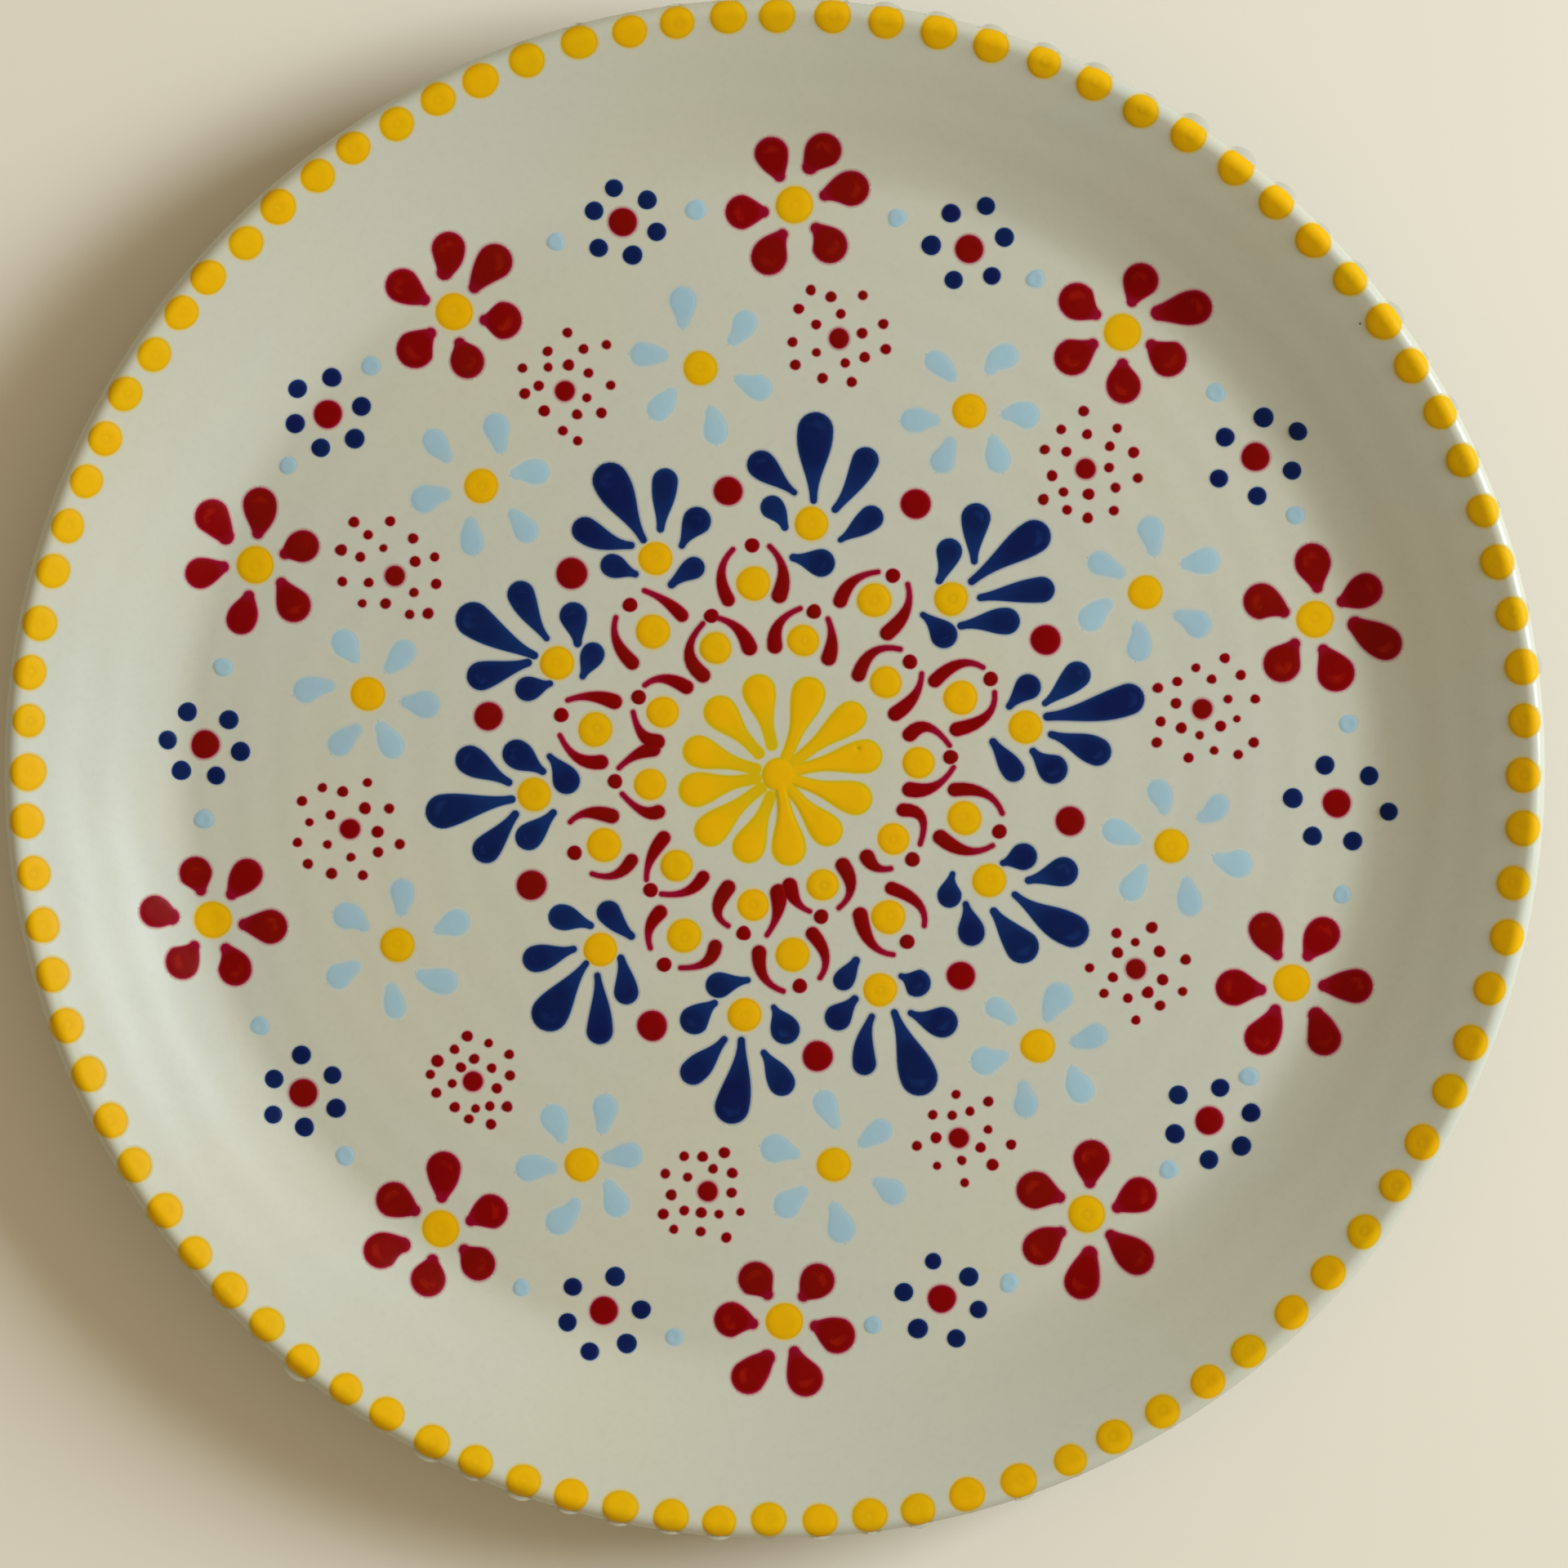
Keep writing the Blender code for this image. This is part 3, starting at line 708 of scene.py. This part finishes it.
for kind, arch in arches.items():
    for k, (wander, row) in enumerate(zip(arch["wander"], arch["strokes"]), 1):
        middle = polar(arch["start"] + tenth * (k - 1) + wander[0], arch["ring"] + wander[1])
        place(makeDrops(f"{kind}ArchDrop_{k:02d}", middle, arch["drop"], roundDrop), yellowPaint)
        ends = inMotif(middle, np.reshape(row, (7, 2)))
        sides = [
            dict(tail=ends[j], bend=ends[j + 1], head=ends[j + 2], tailRadius=archStroke["tail"],
                 headRadius=archStroke["head"] * (1 + hand.normal(0, 0.05)))
            for j in (0, 3)
        ]
        place(makeStrokes(f"{kind}ArchStrokes_{k:02d}", sides, archStroke), redPaint)
        place(makeDrops(f"{kind}ArchTip_{k:02d}", ends[6], archStroke["drop"], archTip), redPaint)

print("fans")
# head, tip and head radius of each leaf, clockwise from the left one
fans = [
    ((-6.4, 1.5, -3.8, -2, 1.9), (-7, 9.7, -3.3, 3.8, 2.2), (-1.7, 17.4, -1.1, 3.8, 2.6),
     (5.9, 10.9, 1.9, 4, 2.2), (7.5, 3.3, 4.1, 0.6, 2.2), (6.7, -3.1, 1.5, -5.6, 1.8)),
    ((-5.8, 5.2, -3.5, 0.7, 1.9), (-6.7, 12.1, -1.8, 7, 2.3), (2.1, 16.8, 0.3, 4.4, 2.5),
     (9.2, 11.7, 3.2, 3.6, 2.1), (8.9, 4, 4.3, -1.9, 2.0), (3.4, -4.9, -1.3, -5.1, 2.0)),
    ((-6.7, 1.7, -4.2, -1.2, 1.9), (-9.5, 8.3, -3.5, 4.6, 2.1), (-1.6, 15.2, -0.2, 3.8, 2.8),
     (7.2, 11.5, 3.5, 2.9, 2.1), (9.5, 2.4, 5.1, -1.9, 2.0), (2.5, -6.1, -2.1, -5.9, 2.1)),
    ((-6.7, 2.5, -4.1, -0.6, 1.8), (-7.7, 9.7, -2.4, 3.8, 2.1), (-0.1, 14.7, -0.2, 3.6, 2.8),
     (7.6, 10.2, 3.1, 3.8, 2.1), (8.9, 2, 4.8, -0.3, 2.1), (4.7, -4.4, 0.2, -5, 1.6)),
    ((-5.9, 2.5, -3.5, -0.4, 2.0), (-7.3, 10.2, -2, 4.3, 2.2), (0.4, 15.4, -0.5, 3.9, 2.8),
     (7.5, 10.2, 2.9, 3.3, 2.2), (8.1, 1, 4.4, -1.6, 2.2), (3.9, -4.6, -0.1, -4.7, 1.9)),
    ((-6.8, 1.6, -3.3, -2.8, 2.0), (-8.1, 8.7, -2.9, 3.4, 2.1), (-1.2, 15.1, -0.4, 3.7, 2.6),
     (6.7, 9.8, 2.4, 3.9, 2.2), (6.9, 2.1, 3.6, -1.8, 2.3), (1.7, -5.5, 5.9, -3.2, 2.0)),
    ((-7.9, 2.1, -3.4, -1.3, 1.9), (-9.2, 9.7, -2.6, 3.4, 2.1), (-1.3, 13.2, 0.1, 3.2, 2.8),
     (6.5, 8.4, 3.2, 3, 2.1), (8.3, 0.6, 3.9, -1.7, 2.0), (3.2, -5.3, -2.1, -5.1, 1.9)),
    ((-6.9, 1.6, -4.6, -1.8, 2.4), (-7.4, 10.3, -3.9, 5.8, 2.2), (0.2, 15.2, 0, 4.2, 2.8),
     (7.2, 10.3, 2.8, 4.4, 2.1), (8, 1.8, 5.1, -1.3, 2.3), (4.8, -4.3, 0.2, -5.7, 1.9)),
    ((-5.9, 1.6, -4.1, -0.5, 2.1), (-6.9, 9.2, -2.9, 5.6, 2.3), (0.4, 15.7, -0.5, 4.4, 2.8),
     (7.5, 9.8, 3.1, 3.4, 1.9), (8.1, 1.1, 4.4, -0.4, 2.0), (4.7, -4, 1.5, -6, 1.7)),
    ((-6.1, 3.2, -3.6, 0.7, 2.1), (-6.9, 10.1, -3, 5.7, 2.2), (1, 15.9, 0.1, 4.8, 2.7), (7.1, 9.8, 4.1, 3, 2.6),
     (8.9, 1.4, 5.2, -1.6, 2.0), (5.2, -4.6, 1.8, -5.8, 1.8)),
]
fanLeaf = dict(
    petal, steps=10, taper=1.85,
    nominal=2.4, height=0.42, thinning=0.8, film=0.07, feather=0.7, wobble=0.055, dimple=0.05, dimpleWidth=0.35,
    comma=0.04, glint=0.1, tail=0.46, drop=2.62,
)


for k, leaves in enumerate(fans, 1):
    node = f"fan_centre_{k:02d}"
    middle = centreOf(node)
    place(makeDrops(f"fanDrop_{k:02d}", middle, fanLeaf["drop"], roundDrop), yellowPaint, node)
    strokes = []
    for leaf in leaves:
        headAt, tipAt = inMotif(middle, leaf[:2]), inMotif(middle, leaf[2:4])
        strokes.append(bentStroke(
            tipAt, headAt, hand.normal(0, 0.03), fanLeaf["tail"] * hand.uniform(0.8, 1.2), leaf[4]))
    place(makeStrokes(f"fanLeaves_{k:02d}", strokes, fanLeaf), navyPaint)

print("red flowers")
# heading clockwise from outward and reach of each petal's head
redFlowers = [
    ((-15, 9.7), (34, 12.1), (84, 9.4), (142, 9), (214, 9.2), (-77, 9.5)),
    ((-19, 9), (32, 12.5), (81, 8.6), (140, 8.8), (205, 9.1), (-94, 9)),
    ((-26, 9.2), (26, 10.1), (72, 9.7), (137, 8.8), (204, 9.5), (-100, 8.5)),
    ((-28, 9.4), (30, 10.4), (74, 10.5), (135, 8.1), (200, 8.4), (-99, 8.8)),
    ((-30, 9), (27, 10.6), (73, 9.9), (137, 8.4), (205, 9.1), (-97, 9.2)),
    ((-39, 8.4), (24, 9.5), (85, 8.2), (142, 9.3), (202, 9.4), (-99, 8.9)),
    ((-22, 8.5), (34, 10.4), (86, 9), (147, 9.9), (215, 8.6), (-83, 8.5)),
    ((-19, 10), (34, 10.8), (93, 8.6), (147, 8.4), (220, 8.6), (-74, 8.9)),
    ((-14, 10.9), (39, 11.1), (89, 9.4), (150, 9.3), (220, 9.2), (-75, 9.1)),
    ((-20, 10.5), (37, 10.5), (96, 10.2), (153, 9.5), (221, 9.9), (-80, 9.5)),
]
redPetal = dict(
    petal, steps=8, taper=1.15,
    nominal=2.8, height=0.45, thinning=0.7, film=0.07, feather=0.75, wobble=0.04, dimple=0.05, dimpleWidth=0.4,
    comma=0.12, glint=0.1, tail=0.82, bluntTail=1.23, head=2.74, smallHead=2.6, tip=5.2, bluntTip=6.6, drop=2.9,
)
for k, petals in enumerate(redFlowers, 1):
    node = f"red_flower_centre_{k:02d}"
    middle = centreOf(node)
    place(makeDrops(f"redFlowerDrop_{k:02d}", middle, redPetal["drop"], roundDrop), yellowPaint, node)
    fat = redPetal["smallHead" if k in (5, 6) else "head"]
    strokes = []
    for number, (heading, reach) in enumerate(petals):
        blunt = number == 1   # the second petal is drawn short and thick
        headAt = inMotif(middle, headingPoint(heading, reach))
        tip = redPetal["bluntTip" if blunt else "tip"]
        tipAt = inMotif(middle, headingPoint(heading + hand.normal(-8 if blunt else 0, 4), tip))
        strokes.append(bentStroke(
            tipAt, headAt, hand.normal(0, 0.03), redPetal["bluntTail" if blunt else "tail"],
            fat * (1 + hand.normal(0, 0.03))))
    place(makeStrokes(f"redPetals_{k:02d}", strokes, redPetal), redPaint)

print("light-blue flowers")
skyFlowers = [
    ((-2, 11.2), (57, 10), (122, 9.3), (180, 9.8), (238, 8.9), (300, 10.3)),
    ((5, 10.7), (66, 9.3), (121, 9.4), (180, 9.3), (232, 9.4), (297, 9.8)),
    ((-4, 11.4), (55, 10.4), (119, 10.2), (177, 10.8), (236, 9.5), (294, 9.7)),
    ((0, 10.7), (60, 10), (122, 9.4), (181, 10.3), (235, 9.6), (303, 9.5)),
    ((-7, 10.1), (55, 9.3), (120, 9.1), (180, 9.6), (235, 9.4), (289, 9.4)),
    ((-3, 10.9), (55, 9.6), (120, 8.9), (184, 10.4), (243, 9.8), (297, 10.3)),
    ((-4, 10.1), (60, 8.7), (123, 9), (176, 10.2), (233, 7.9), (293, 8.6)),
    ((2, 10.6), (58, 10.1), (114, 10), (180, 10.4), (242, 9.4), (304, 10.8)),
    ((-1, 10.1), (55, 10), (118, 9), (176, 9.3), (246, 8.7), (303, 9.6)),
    ((4, 11.3), (61, 10), (122, 9.5), (184, 9.6), (246, 9.2), (308, 10.2)),
]
skyPetal = dict(
    petal, steps=8, taper=1.15,
    nominal=2.3, height=0.24, thinning=0.6, film=0.05, feather=0.75, wobble=0.05, dimple=0.16, dimpleWidth=0.36,
    comma=0.12, glint=0.0, head=1.98, tail=0.95, length=3.2, drop=2.65,
)
for k, petals in enumerate(skyFlowers, 1):
    node = f"sky_flower_centre_{k:02d}"
    middle = centreOf(node)
    place(makeDrops(f"skyFlowerDrop_{k:02d}", middle, skyPetal["drop"], roundDrop), yellowPaint, node)
    strokes = []
    for heading, reach in petals:
        headAt = inMotif(middle, headingPoint(heading, reach))
        lean = hand.normal(0, 6)
        inner = reach - skyPetal["length"] * hand.uniform(0.9, 1.12)
        tipAt = inMotif(middle, headingPoint(heading + lean, inner))
        strokes.append(bentStroke(
            tipAt, headAt, hand.normal(0, 0.04), skyPetal["tail"],
            skyPetal["head"] * (1 + hand.normal(0, 0.06))))
    place(makeStrokes(f"skyPetals_{k:02d}", strokes, skyPetal), skyPaint)

print("sprays and dot flowers")
# the small drops of each spray, as right and outward from its centre drop
sprays = [
    [(-1, 4.4), (2.4, 5.4), (3.2, 2.6), (4.2, -1), (2.6, -3.8), (-1.5, -4.1), (-4.6, 2.2), (-0.4, 8.8),
     (6.6, 7.6), (8.2, 4.8), (7, 1), (7.6, -3.3), (4.4, -8.1), (1.1, -7), (-4.4, -6.7), (-5, -3.4),
     (-6.8, -0.1), (-7.7, 4.8), (-4.6, 7)],
    [(-1.2, 8.3), (3.5, 7.5), (7, 5.1), (8.1, -1.4), (6, -5.3), (2.7, -6.8), (-1.2, -8.4), (-6.9, -2.6),
     (-7.4, 1.6), (-7, 6.3), (0.1, 5.4), (2.5, 2.9), (5.6, 1.4), (3.3, -2.5), (0.2, -5.2), (-3, -4.7),
     (-4.2, -0.3), (-3.9, 4.1)],
    [(2.8, 7.5), (6.8, 3.4), (7.8, -0.6), (3.1, -6.7), (-1.7, -6.8), (-6.4, -5.3), (-7.4, -1.7), (-7.2, 3.8),
     (-5.7, 7.1), (-2.3, 6.5), (-0.3, 4), (3.6, 1.4), (4.6, -2.4), (1.6, -3.8), (-3.3, -2.8), (-4, 1.7)],
    [(5, 8.1), (9.6, 3.3), (7, -2.8), (3.5, -6), (-2.1, -8.1), (-3.4, -5.5), (-4.5, -1.2), (-5.9, 2.8),
     (-4.2, 6.6), (0.7, 7), (-0.5, 4.7), (2.6, 3.4), (6, 4.5), (4.8, 0.7), (2.6, -2.7), (-0.1, -4.3),
     (-3.3, 2.8)],
    [(-0.2, 9.7), (4.8, 9.9), (4, 6.9), (7.6, 4.7), (6.8, 0.1), (5.7, -4.4), (1.9, -6.6), (-3, -7.6),
     (-4.5, -5), (-4.7, -0.7), (-6.4, 2.7), (-4.7, 7.2), (0.2, 6.4), (3.2, 3.7), (3.6, -1.9), (-1, -4),
     (-2.9, 3.3)],
    [(-1, 8.8), (5.6, 7.1), (7.3, 3.5), (6.2, 0.3), (7.1, -3.9), (2.4, -6.8), (-3.6, -7.7), (-4.4, -4),
     (-7.8, -1), (-6.8, 4), (-4.7, 7.6), (2, 6.4), (-2, 4), (2.7, 2.8), (3, -2.9), (-1.1, -4.4), (-4.6, 0.5)],
    [(-0.8, 5.1), (3, 5.5), (5.8, 4), (6.5, 1.6), (5.8, -1.7), (5.8, -4.7), (2.5, -6.3), (-1.2, -7.3),
     (-3.7, -4.9), (-3.6, -1.9), (-6.9, -0.9), (-7, 3), (-3.8, 4.9), (2.2, 2.6), (3, -0.3), (2.4, -2.8),
     (-0.7, -3.7), (-4.8, 1), (-3.4, 2.9)],
    [(0.1, 6.7), (4.5, 7), (6.6, 4.8), (5.8, 1.5), (7.3, -1.8), (4.7, -5.1), (1.7, -5.5), (-1.7, -6.7),
     (-3.5, -3.6), (-3.9, -0.4), (-5.8, 2.5), (-4.2, 7), (-2.4, 3.4), (0.5, 3.6), (3.3, 3.7), (3.6, -1.8),
     (-0.3, -3.8)],
    [(2.4, 7), (5.2, 2.5), (6.7, -1.9), (3.3, -1.7), (2.1, -5.3), (-0.7, -3.8), (-2.8, -6.6), (-3.6, -3.1),
     (-7, -3.2), (-4.9, 0.9), (-7.2, 4.8), (-2.5, 3), (-3, 6.4), (1.2, 3.5)],
    [(-0.5, 8.5), (3.3, 6.4), (7.3, 4.1), (4.8, 1.2), (6, -2.6), (3.5, -6.7), (-3.6, -5.6), (-3.8, -2.2),
     (-7.2, -1), (-4.4, 2), (-5.3, 6.4), (-0.6, 4.7), (2.4, 3.6), (3, -2.6), (-0.9, -3.9)],
]
sprayDrop = dict(
    roundDrop, sides=20, rows=(0.3, 0.55, 0.75, 0.9, 1.0), height=0.36, dimple=0.03, middle=1.55, dot=0.74,
)
for k, dots in enumerate(sprays, 1):
    node = f"spray_centre_{k:02d}"
    middle = centreOf(node)
    place(makeDrops(f"sprayDrop_{k:02d}", middle, sprayDrop["middle"], sprayDrop), redPaint, node)
    sizes = sprayDrop["dot"] * (1 + hand.normal(0, 0.1, len(dots)))
    place(makeDrops(f"sprayDots_{k:02d}", inMotif(middle, dots), sizes, smallDrop), redPaint)

# the six navy drops of each dot flower, clockwise from the outer one
dotFlowers = [
    ((0.2, 8), (5.1, 3.8), (5.5, -3.2), (-0.3, -6.9), (-5.4, -2.4), (-4.7, 4.6)),
    ((0.1, 7.5), (4.7, 3.8), (5, -2.8), (-0.6, -5.6), (-6, -1.6), (-4.8, 4.4)),
    ((0.1, 5.7), (4.8, 2.4), (4.9, -3), (0.1, -5.6), (-4.9, -3), (-4, 3)),
    ((0.2, 6.4), (5.1, 3.2), (4.4, -3.5), (-0.4, -5.9), (-5, -2.5), (-4.5, 3.2)),
    ((0.5, 6.1), (5.2, 3.1), (4.2, -3.7), (-0.9, -5.8), (-5, -2), (-4.4, 3.7)),
    ((-0.1, 6), (4.6, 2.6), (5.3, -3.3), (-0.3, -5.6), (-5.1, -3), (-4.7, 3)),
    ((0.2, 7), (5.1, 3.6), (6, -2.2), (-0.1, -5.9), (-5.8, -2), (-5.2, 4)),
    ((-0.3, 6.9), (5.2, 3.5), (5.6, -2.9), (-0.5, -6.3), (-5.3, -2.1), (-5.2, 3.5)),
    ((-0.1, 6.7), (5, 4), (5.2, -3), (-0.1, -6.6), (-5.3, -2), (-5.3, 4.5)),
    ((0.8, 8.5), (6, 3), (5.6, -3.6), (-0.4, -7.2), (-6.1, -2.3), (-4.8, 5)),
]
navyDot = dict(
    roundDrop, sides=18, rows=(0.2, 0.4, 0.62, 0.8, 0.93, 1.0), nominal=1.55, height=0.38, dimple=0.04,
    feather=0.45, middle=2.2, dot=1.47,
)
for k, dots in enumerate(dotFlowers, 1):
    node = f"dot_flower_centre_{k:02d}"
    middle = centreOf(node)
    place(makeDrops(f"dotFlowerDrop_{k:02d}", middle, navyDot["middle"], plainDrop), redPaint, node)
    sizes = navyDot["dot"] * (1 + hand.normal(0, 0.04, len(dots)))
    place(makeDrops(f"navyDots_{k:02d}", inMotif(middle, dots), sizes, navyDot), navyPaint)

print("single drops")
spacers = dict(
    ring=47.0, start=26, drop=2.34,
    wander=((-0.5, 2), (0, 2), (1.5, -1), (2, -1), (-0.5, 0.5), (-0.5, -3), (2.5, -0.5), (0.5, 0.5), (-2, -1.5),
            (0, 2)),
)
wander = np.array(spacers["wander"])
middles = polar(spacers["start"] + tenth * np.arange(10) + wander[:, 0], spacers["ring"] + wander[:, 1])
sizes = spacers["drop"] * (1 + hand.normal(0, 0.03, 10))
place(makeDrops("spacerDrops", middles, sizes, plainDrop), redPaint)
# the angle and the distance from the middle of each light-blue drop
skySingles = np.array([
    (4.5, 94), (26, 94.5), (40.5, 94.5), (62, 90.5), (77.5, 92), (98, 92), (112.5, 93), (135, 93), (148, 93.5),
    (169.5, 91.5), (185, 93.5), (206.5, 94), (222, 94.5), (244, 94.5), (260, 94.5), (280, 92.5), (294.5, 92.5),
    (314.5, 92), (327, 92.5), (347.5, 95),
])
skyDot = dict(
    roundDrop, sides=18, rows=(0.2, 0.4, 0.6, 0.78, 0.92, 1.0), nominal=1.7, height=0.36, dimple=0.3,
    dimpleRing=0.0, dimpleWidth=0.6, dimpleThinAndShade=0.5, feather=0.4, wobble=0.03, size=1.47,
)
sizes = skyDot["size"] * (1 + hand.normal(0, 0.04, len(skySingles)))
place(makeDrops("skyDrops", polar(*skySingles.T), sizes, skyDot), skyPaint)

print("daisy")
daisy = dict(
    hub=(0.7, -0.9), hubRadius=2.65, height=0.34, neck=0.86, head=2.6, swell=4.0,
    heads=((-2.6, 12.8), (5.5, 12.3), (12.4, 8.5), (14.8, 2.1), (13.2, -4.8), (8.5, -10), (2.3, -13),
           (-4.3, -12.7), (-10.5, -10), (-12.9, -3.4), (-12.4, 2.9), (-8.9, 9.3)),
    roots=(5.0, 2.8, 3.2, 2.0, 2.0, 2.6, 1.6, 3.8, 3.6, 3.8, 3.9, 4.8),
    rootHeight=(0.03, 0.45, 0.4, 0.7, 0.7, 0.5, 0.8, 0.08, 0.1, 0.1, 0.12, 0.06),
    hubRise=1.05, sag=0.25, uneven=0.04, climb=1.2, roundness=1.35, sharp=16.0,
    pit=(13.6, 3.4), pitDepth=0.35, pitRadius=0.4, cell=0.17, extent=19.0, thick=0.05, skirt=0.5, sunk=0.2,
)


def makeDaisy():
    # A height over a square grid: each petal's height is the cap across a club whose half width grows
    # from neck to head, the hub is a low round hill, and the highest of them all is kept, softened
    # where they meet. Cells outside the paint are left out, and the skin is closed underneath.
    steps = int(2 * daisy["extent"] / daisy["cell"]) + 1
    axis = np.linspace(-daisy["extent"], daisy["extent"], steps)
    x, y = np.meshgrid(axis, axis, indexing="ij")
    hubX, hubY = daisy["hub"]
    fromHub = np.hypot(x - hubX, y - hubY)
    layers = [daisy["height"] * daisy["hubRise"] * paintCap(fromHub / daisy["hubRadius"])]
    edge = [fromHub - daisy["hubRadius"]]
    petals = zip(daisy["heads"], daisy["roots"], daisy["rootHeight"])
    for number, ((headX, headY), root, rootHeight) in enumerate(petals):
        lineX, lineY = headX - hubX, headY - hubY
        length = math.hypot(lineX, lineY)
        lineX, lineY = lineX / length, lineY / length
        run = (x - hubX) * lineX + (y - hubY) * lineY
        off = -(x - hubX) * lineY + (y - hubY) * lineX
        off = off + daisy["sag"] * math.sin(number * 1.7) * np.sin(np.clip(run / length, 0, 1) * math.pi)
        share = np.clip((run - root) / (length - root), 0, 1)
        fat = daisy["head"] * (1 + daisy["uneven"] * math.sin(number * 2.3))
        half = daisy["neck"] + (fat - daisy["neck"]) * np.sin(share * math.pi / 2) ** daisy["swell"]
        rho = np.hypot(np.maximum(run - length, 0) + np.minimum(run - root, 0), off) / half
        tall = daisy["height"] * (rootHeight + (1 - rootHeight) * share ** daisy["climb"])
        layers.append(tall * paintCap(rho) ** daisy["roundness"])
        edge.append((rho - 1) * half)
    sharp, thick = daisy["sharp"], daisy["thick"]
    height = np.log(np.exp(sharp * np.array(layers)).sum(0) - (len(layers) - 1)) / sharp
    # an air bubble burst on one petal
    fromPit = np.hypot(x - daisy["pit"][0], y - daisy["pit"][1])
    height = height - daisy["pitDepth"] * np.exp(-((fromPit / daisy["pitRadius"]) ** 2)) * (height > 0.2)
    nearest = np.min(np.array(edge), 0)
    out, outs = np.clip(nearest / daisy["skirt"], 0, 1), np.append(0, skirt["out"])
    outside = np.interp(out, outs, np.append(thick, skirt["lift"]))
    height = np.where(nearest < 0, height + thick, outside)
    inside = filmEdge + (1 - filmEdge) * np.clip((height - thick) / daisy["height"], 0, 1)
    film = np.where(nearest < 0, inside, np.interp(out, outs, np.append(filmEdge, skirt["film"])))
    lowest = np.minimum(nearest[1:], nearest[:-1])
    keep = np.minimum(lowest[:, 1:], lowest[:, :-1]) < daisy["skirt"]
    index = np.arange(steps * steps).reshape(steps, steps)
    corner = np.stack([index[:-1, :-1], index[1:, :-1], index[1:, 1:], index[:-1, 1:]], -1)
    top = corner[keep]
    bottom = top[:, ::-1] + steps * steps
    padded = np.pad(keep, 1)
    walls = []
    for shiftX, shiftY, a, b in ((-1, 0, 3, 0), (1, 0, 1, 2), (0, -1, 0, 1), (0, 1, 2, 3)):
        bare = keep & ~padded[1 + shiftX:steps + shiftX, 1 + shiftY:steps + shiftY]
        first, second = corner[bare][:, a], corner[bare][:, b]
        walls.append(np.stack([second, first, first + steps * steps, second + steps * steps], -1))
    quads = np.concatenate([top, bottom] + walls)
    plan = np.stack([x, y], -1)
    verts = np.concatenate([
        ontoGlaze(plan, height).reshape(-1, 3),
        ontoGlaze(plan, np.full_like(height, -daisy["sunk"])).reshape(-1, 3)])
    film = np.concatenate([film.ravel(), np.zeros(film.size)])
    used, quads = np.unique(quads, return_inverse=True)
    quads = quads.reshape(-1, 4)
    return makeMesh("centreDaisy", verts[used], quads, np.zeros((0, 3), int),
                    {"film": film[used], "batch": np.full(len(used), 0.5)})


place(makeDaisy(), mustardPaint, "daisy")

print("floor, light and camera")
scene.view_settings.view_transform = "Standard"
stage = dict(size=3.0, colour=(0.71, 0.66, 0.55))
half = stage["size"] / 2
floorMesh = bpy.data.meshes.new("paleFloor")
corners = [(-half, -half, 0), (half, -half, 0), (half, half, 0), (-half, half, 0)]
floorMesh.from_pydata(corners, [], [(0, 1, 2, 3)])
floor = bpy.data.objects.new("paleFloor", floorMesh)
scene.collection.objects.link(floor)
paleFloor, tree, shader = newFinish("palePaper")
paper = addNoise(tree, tree.nodes.new("ShaderNodeTexCoord").outputs["Object"], 9, 3)
paper = addMix(tree, paper, tuple(c * 0.97 for c in stage["colour"]), stage["colour"])
tree.links.new(paper, shader.inputs["Base Color"])
shader.inputs["Roughness"].default_value = 0.9
floor.data.materials.append(paleFloor)

light = dict(
    turn=15, rise=29, distance=1.8, size=0.8, watts=42.0, colour=(0.88, 1.0, 1.12),
    room=(0.50, 0.42, 0.29), backdrop=(0.69, 0.63, 0.50), gloss=0.4,
)
world = bpy.data.worlds.new("room")
world.use_nodes = True
scene.world = world
tree = world.node_tree
shine = tree.nodes["Background"]
rays = tree.nodes.new("ShaderNodeLightPath")
seen = tree.nodes.new("ShaderNodeMath")
seen.operation = "MAXIMUM"
tree.links.new(rays.outputs["Is Camera Ray"], seen.inputs[0])
tree.links.new(rays.outputs["Is Glossy Ray"], seen.inputs[1])
tree.links.new(addMix(tree, seen.outputs[0], light["room"], light["backdrop"]), shine.inputs["Color"])
dimmer = addRange(tree, rays.outputs["Is Glossy Ray"], 0, 1, 1.0, light["gloss"])
tree.links.new(dimmer, shine.inputs["Strength"])

turn, rise = math.radians(light["turn"]), math.radians(light["rise"])
toKey = Vector((math.cos(turn) * math.cos(rise), math.sin(turn) * math.cos(rise), math.sin(rise)))
keyData = bpy.data.lights.new("windowLight", "AREA")
keyData.shape, keyData.size = "SQUARE", light["size"]
keyData.energy, keyData.color = light["watts"], light["colour"]
key = bpy.data.objects.new("windowLight", keyData)
key.location = toKey * light["distance"]
key.rotation_euler = toKey.to_track_quat("Z", "Y").to_euler()
scene.collection.objects.link(key)

view = dict(distance=1.4, lens=198.1, leanUp=2.5, leanLeft=0.5, aim=(0.00145, -0.00205, 0.017))
aim = Vector(view["aim"])
leanLeft, leanUp = math.radians(view["leanLeft"]), math.radians(view["leanUp"])
back = Vector((-math.tan(leanLeft), math.tan(leanUp), 1)).normalized()
cameraData = bpy.data.cameras.new("camera")
cameraData.lens, cameraData.sensor_width = view["lens"], 36
cameraData.clip_start, cameraData.clip_end = 0.01, 20
camera = bpy.data.objects.new("camera", cameraData)
right = Vector((0, 1, 0)).cross(back).normalized()
up = back.cross(right)
turned = Matrix((right, up, back)).transposed().to_4x4()
turned.translation = aim + back * view["distance"]
camera.matrix_world = turned
scene.collection.objects.link(camera)
scene.camera = camera
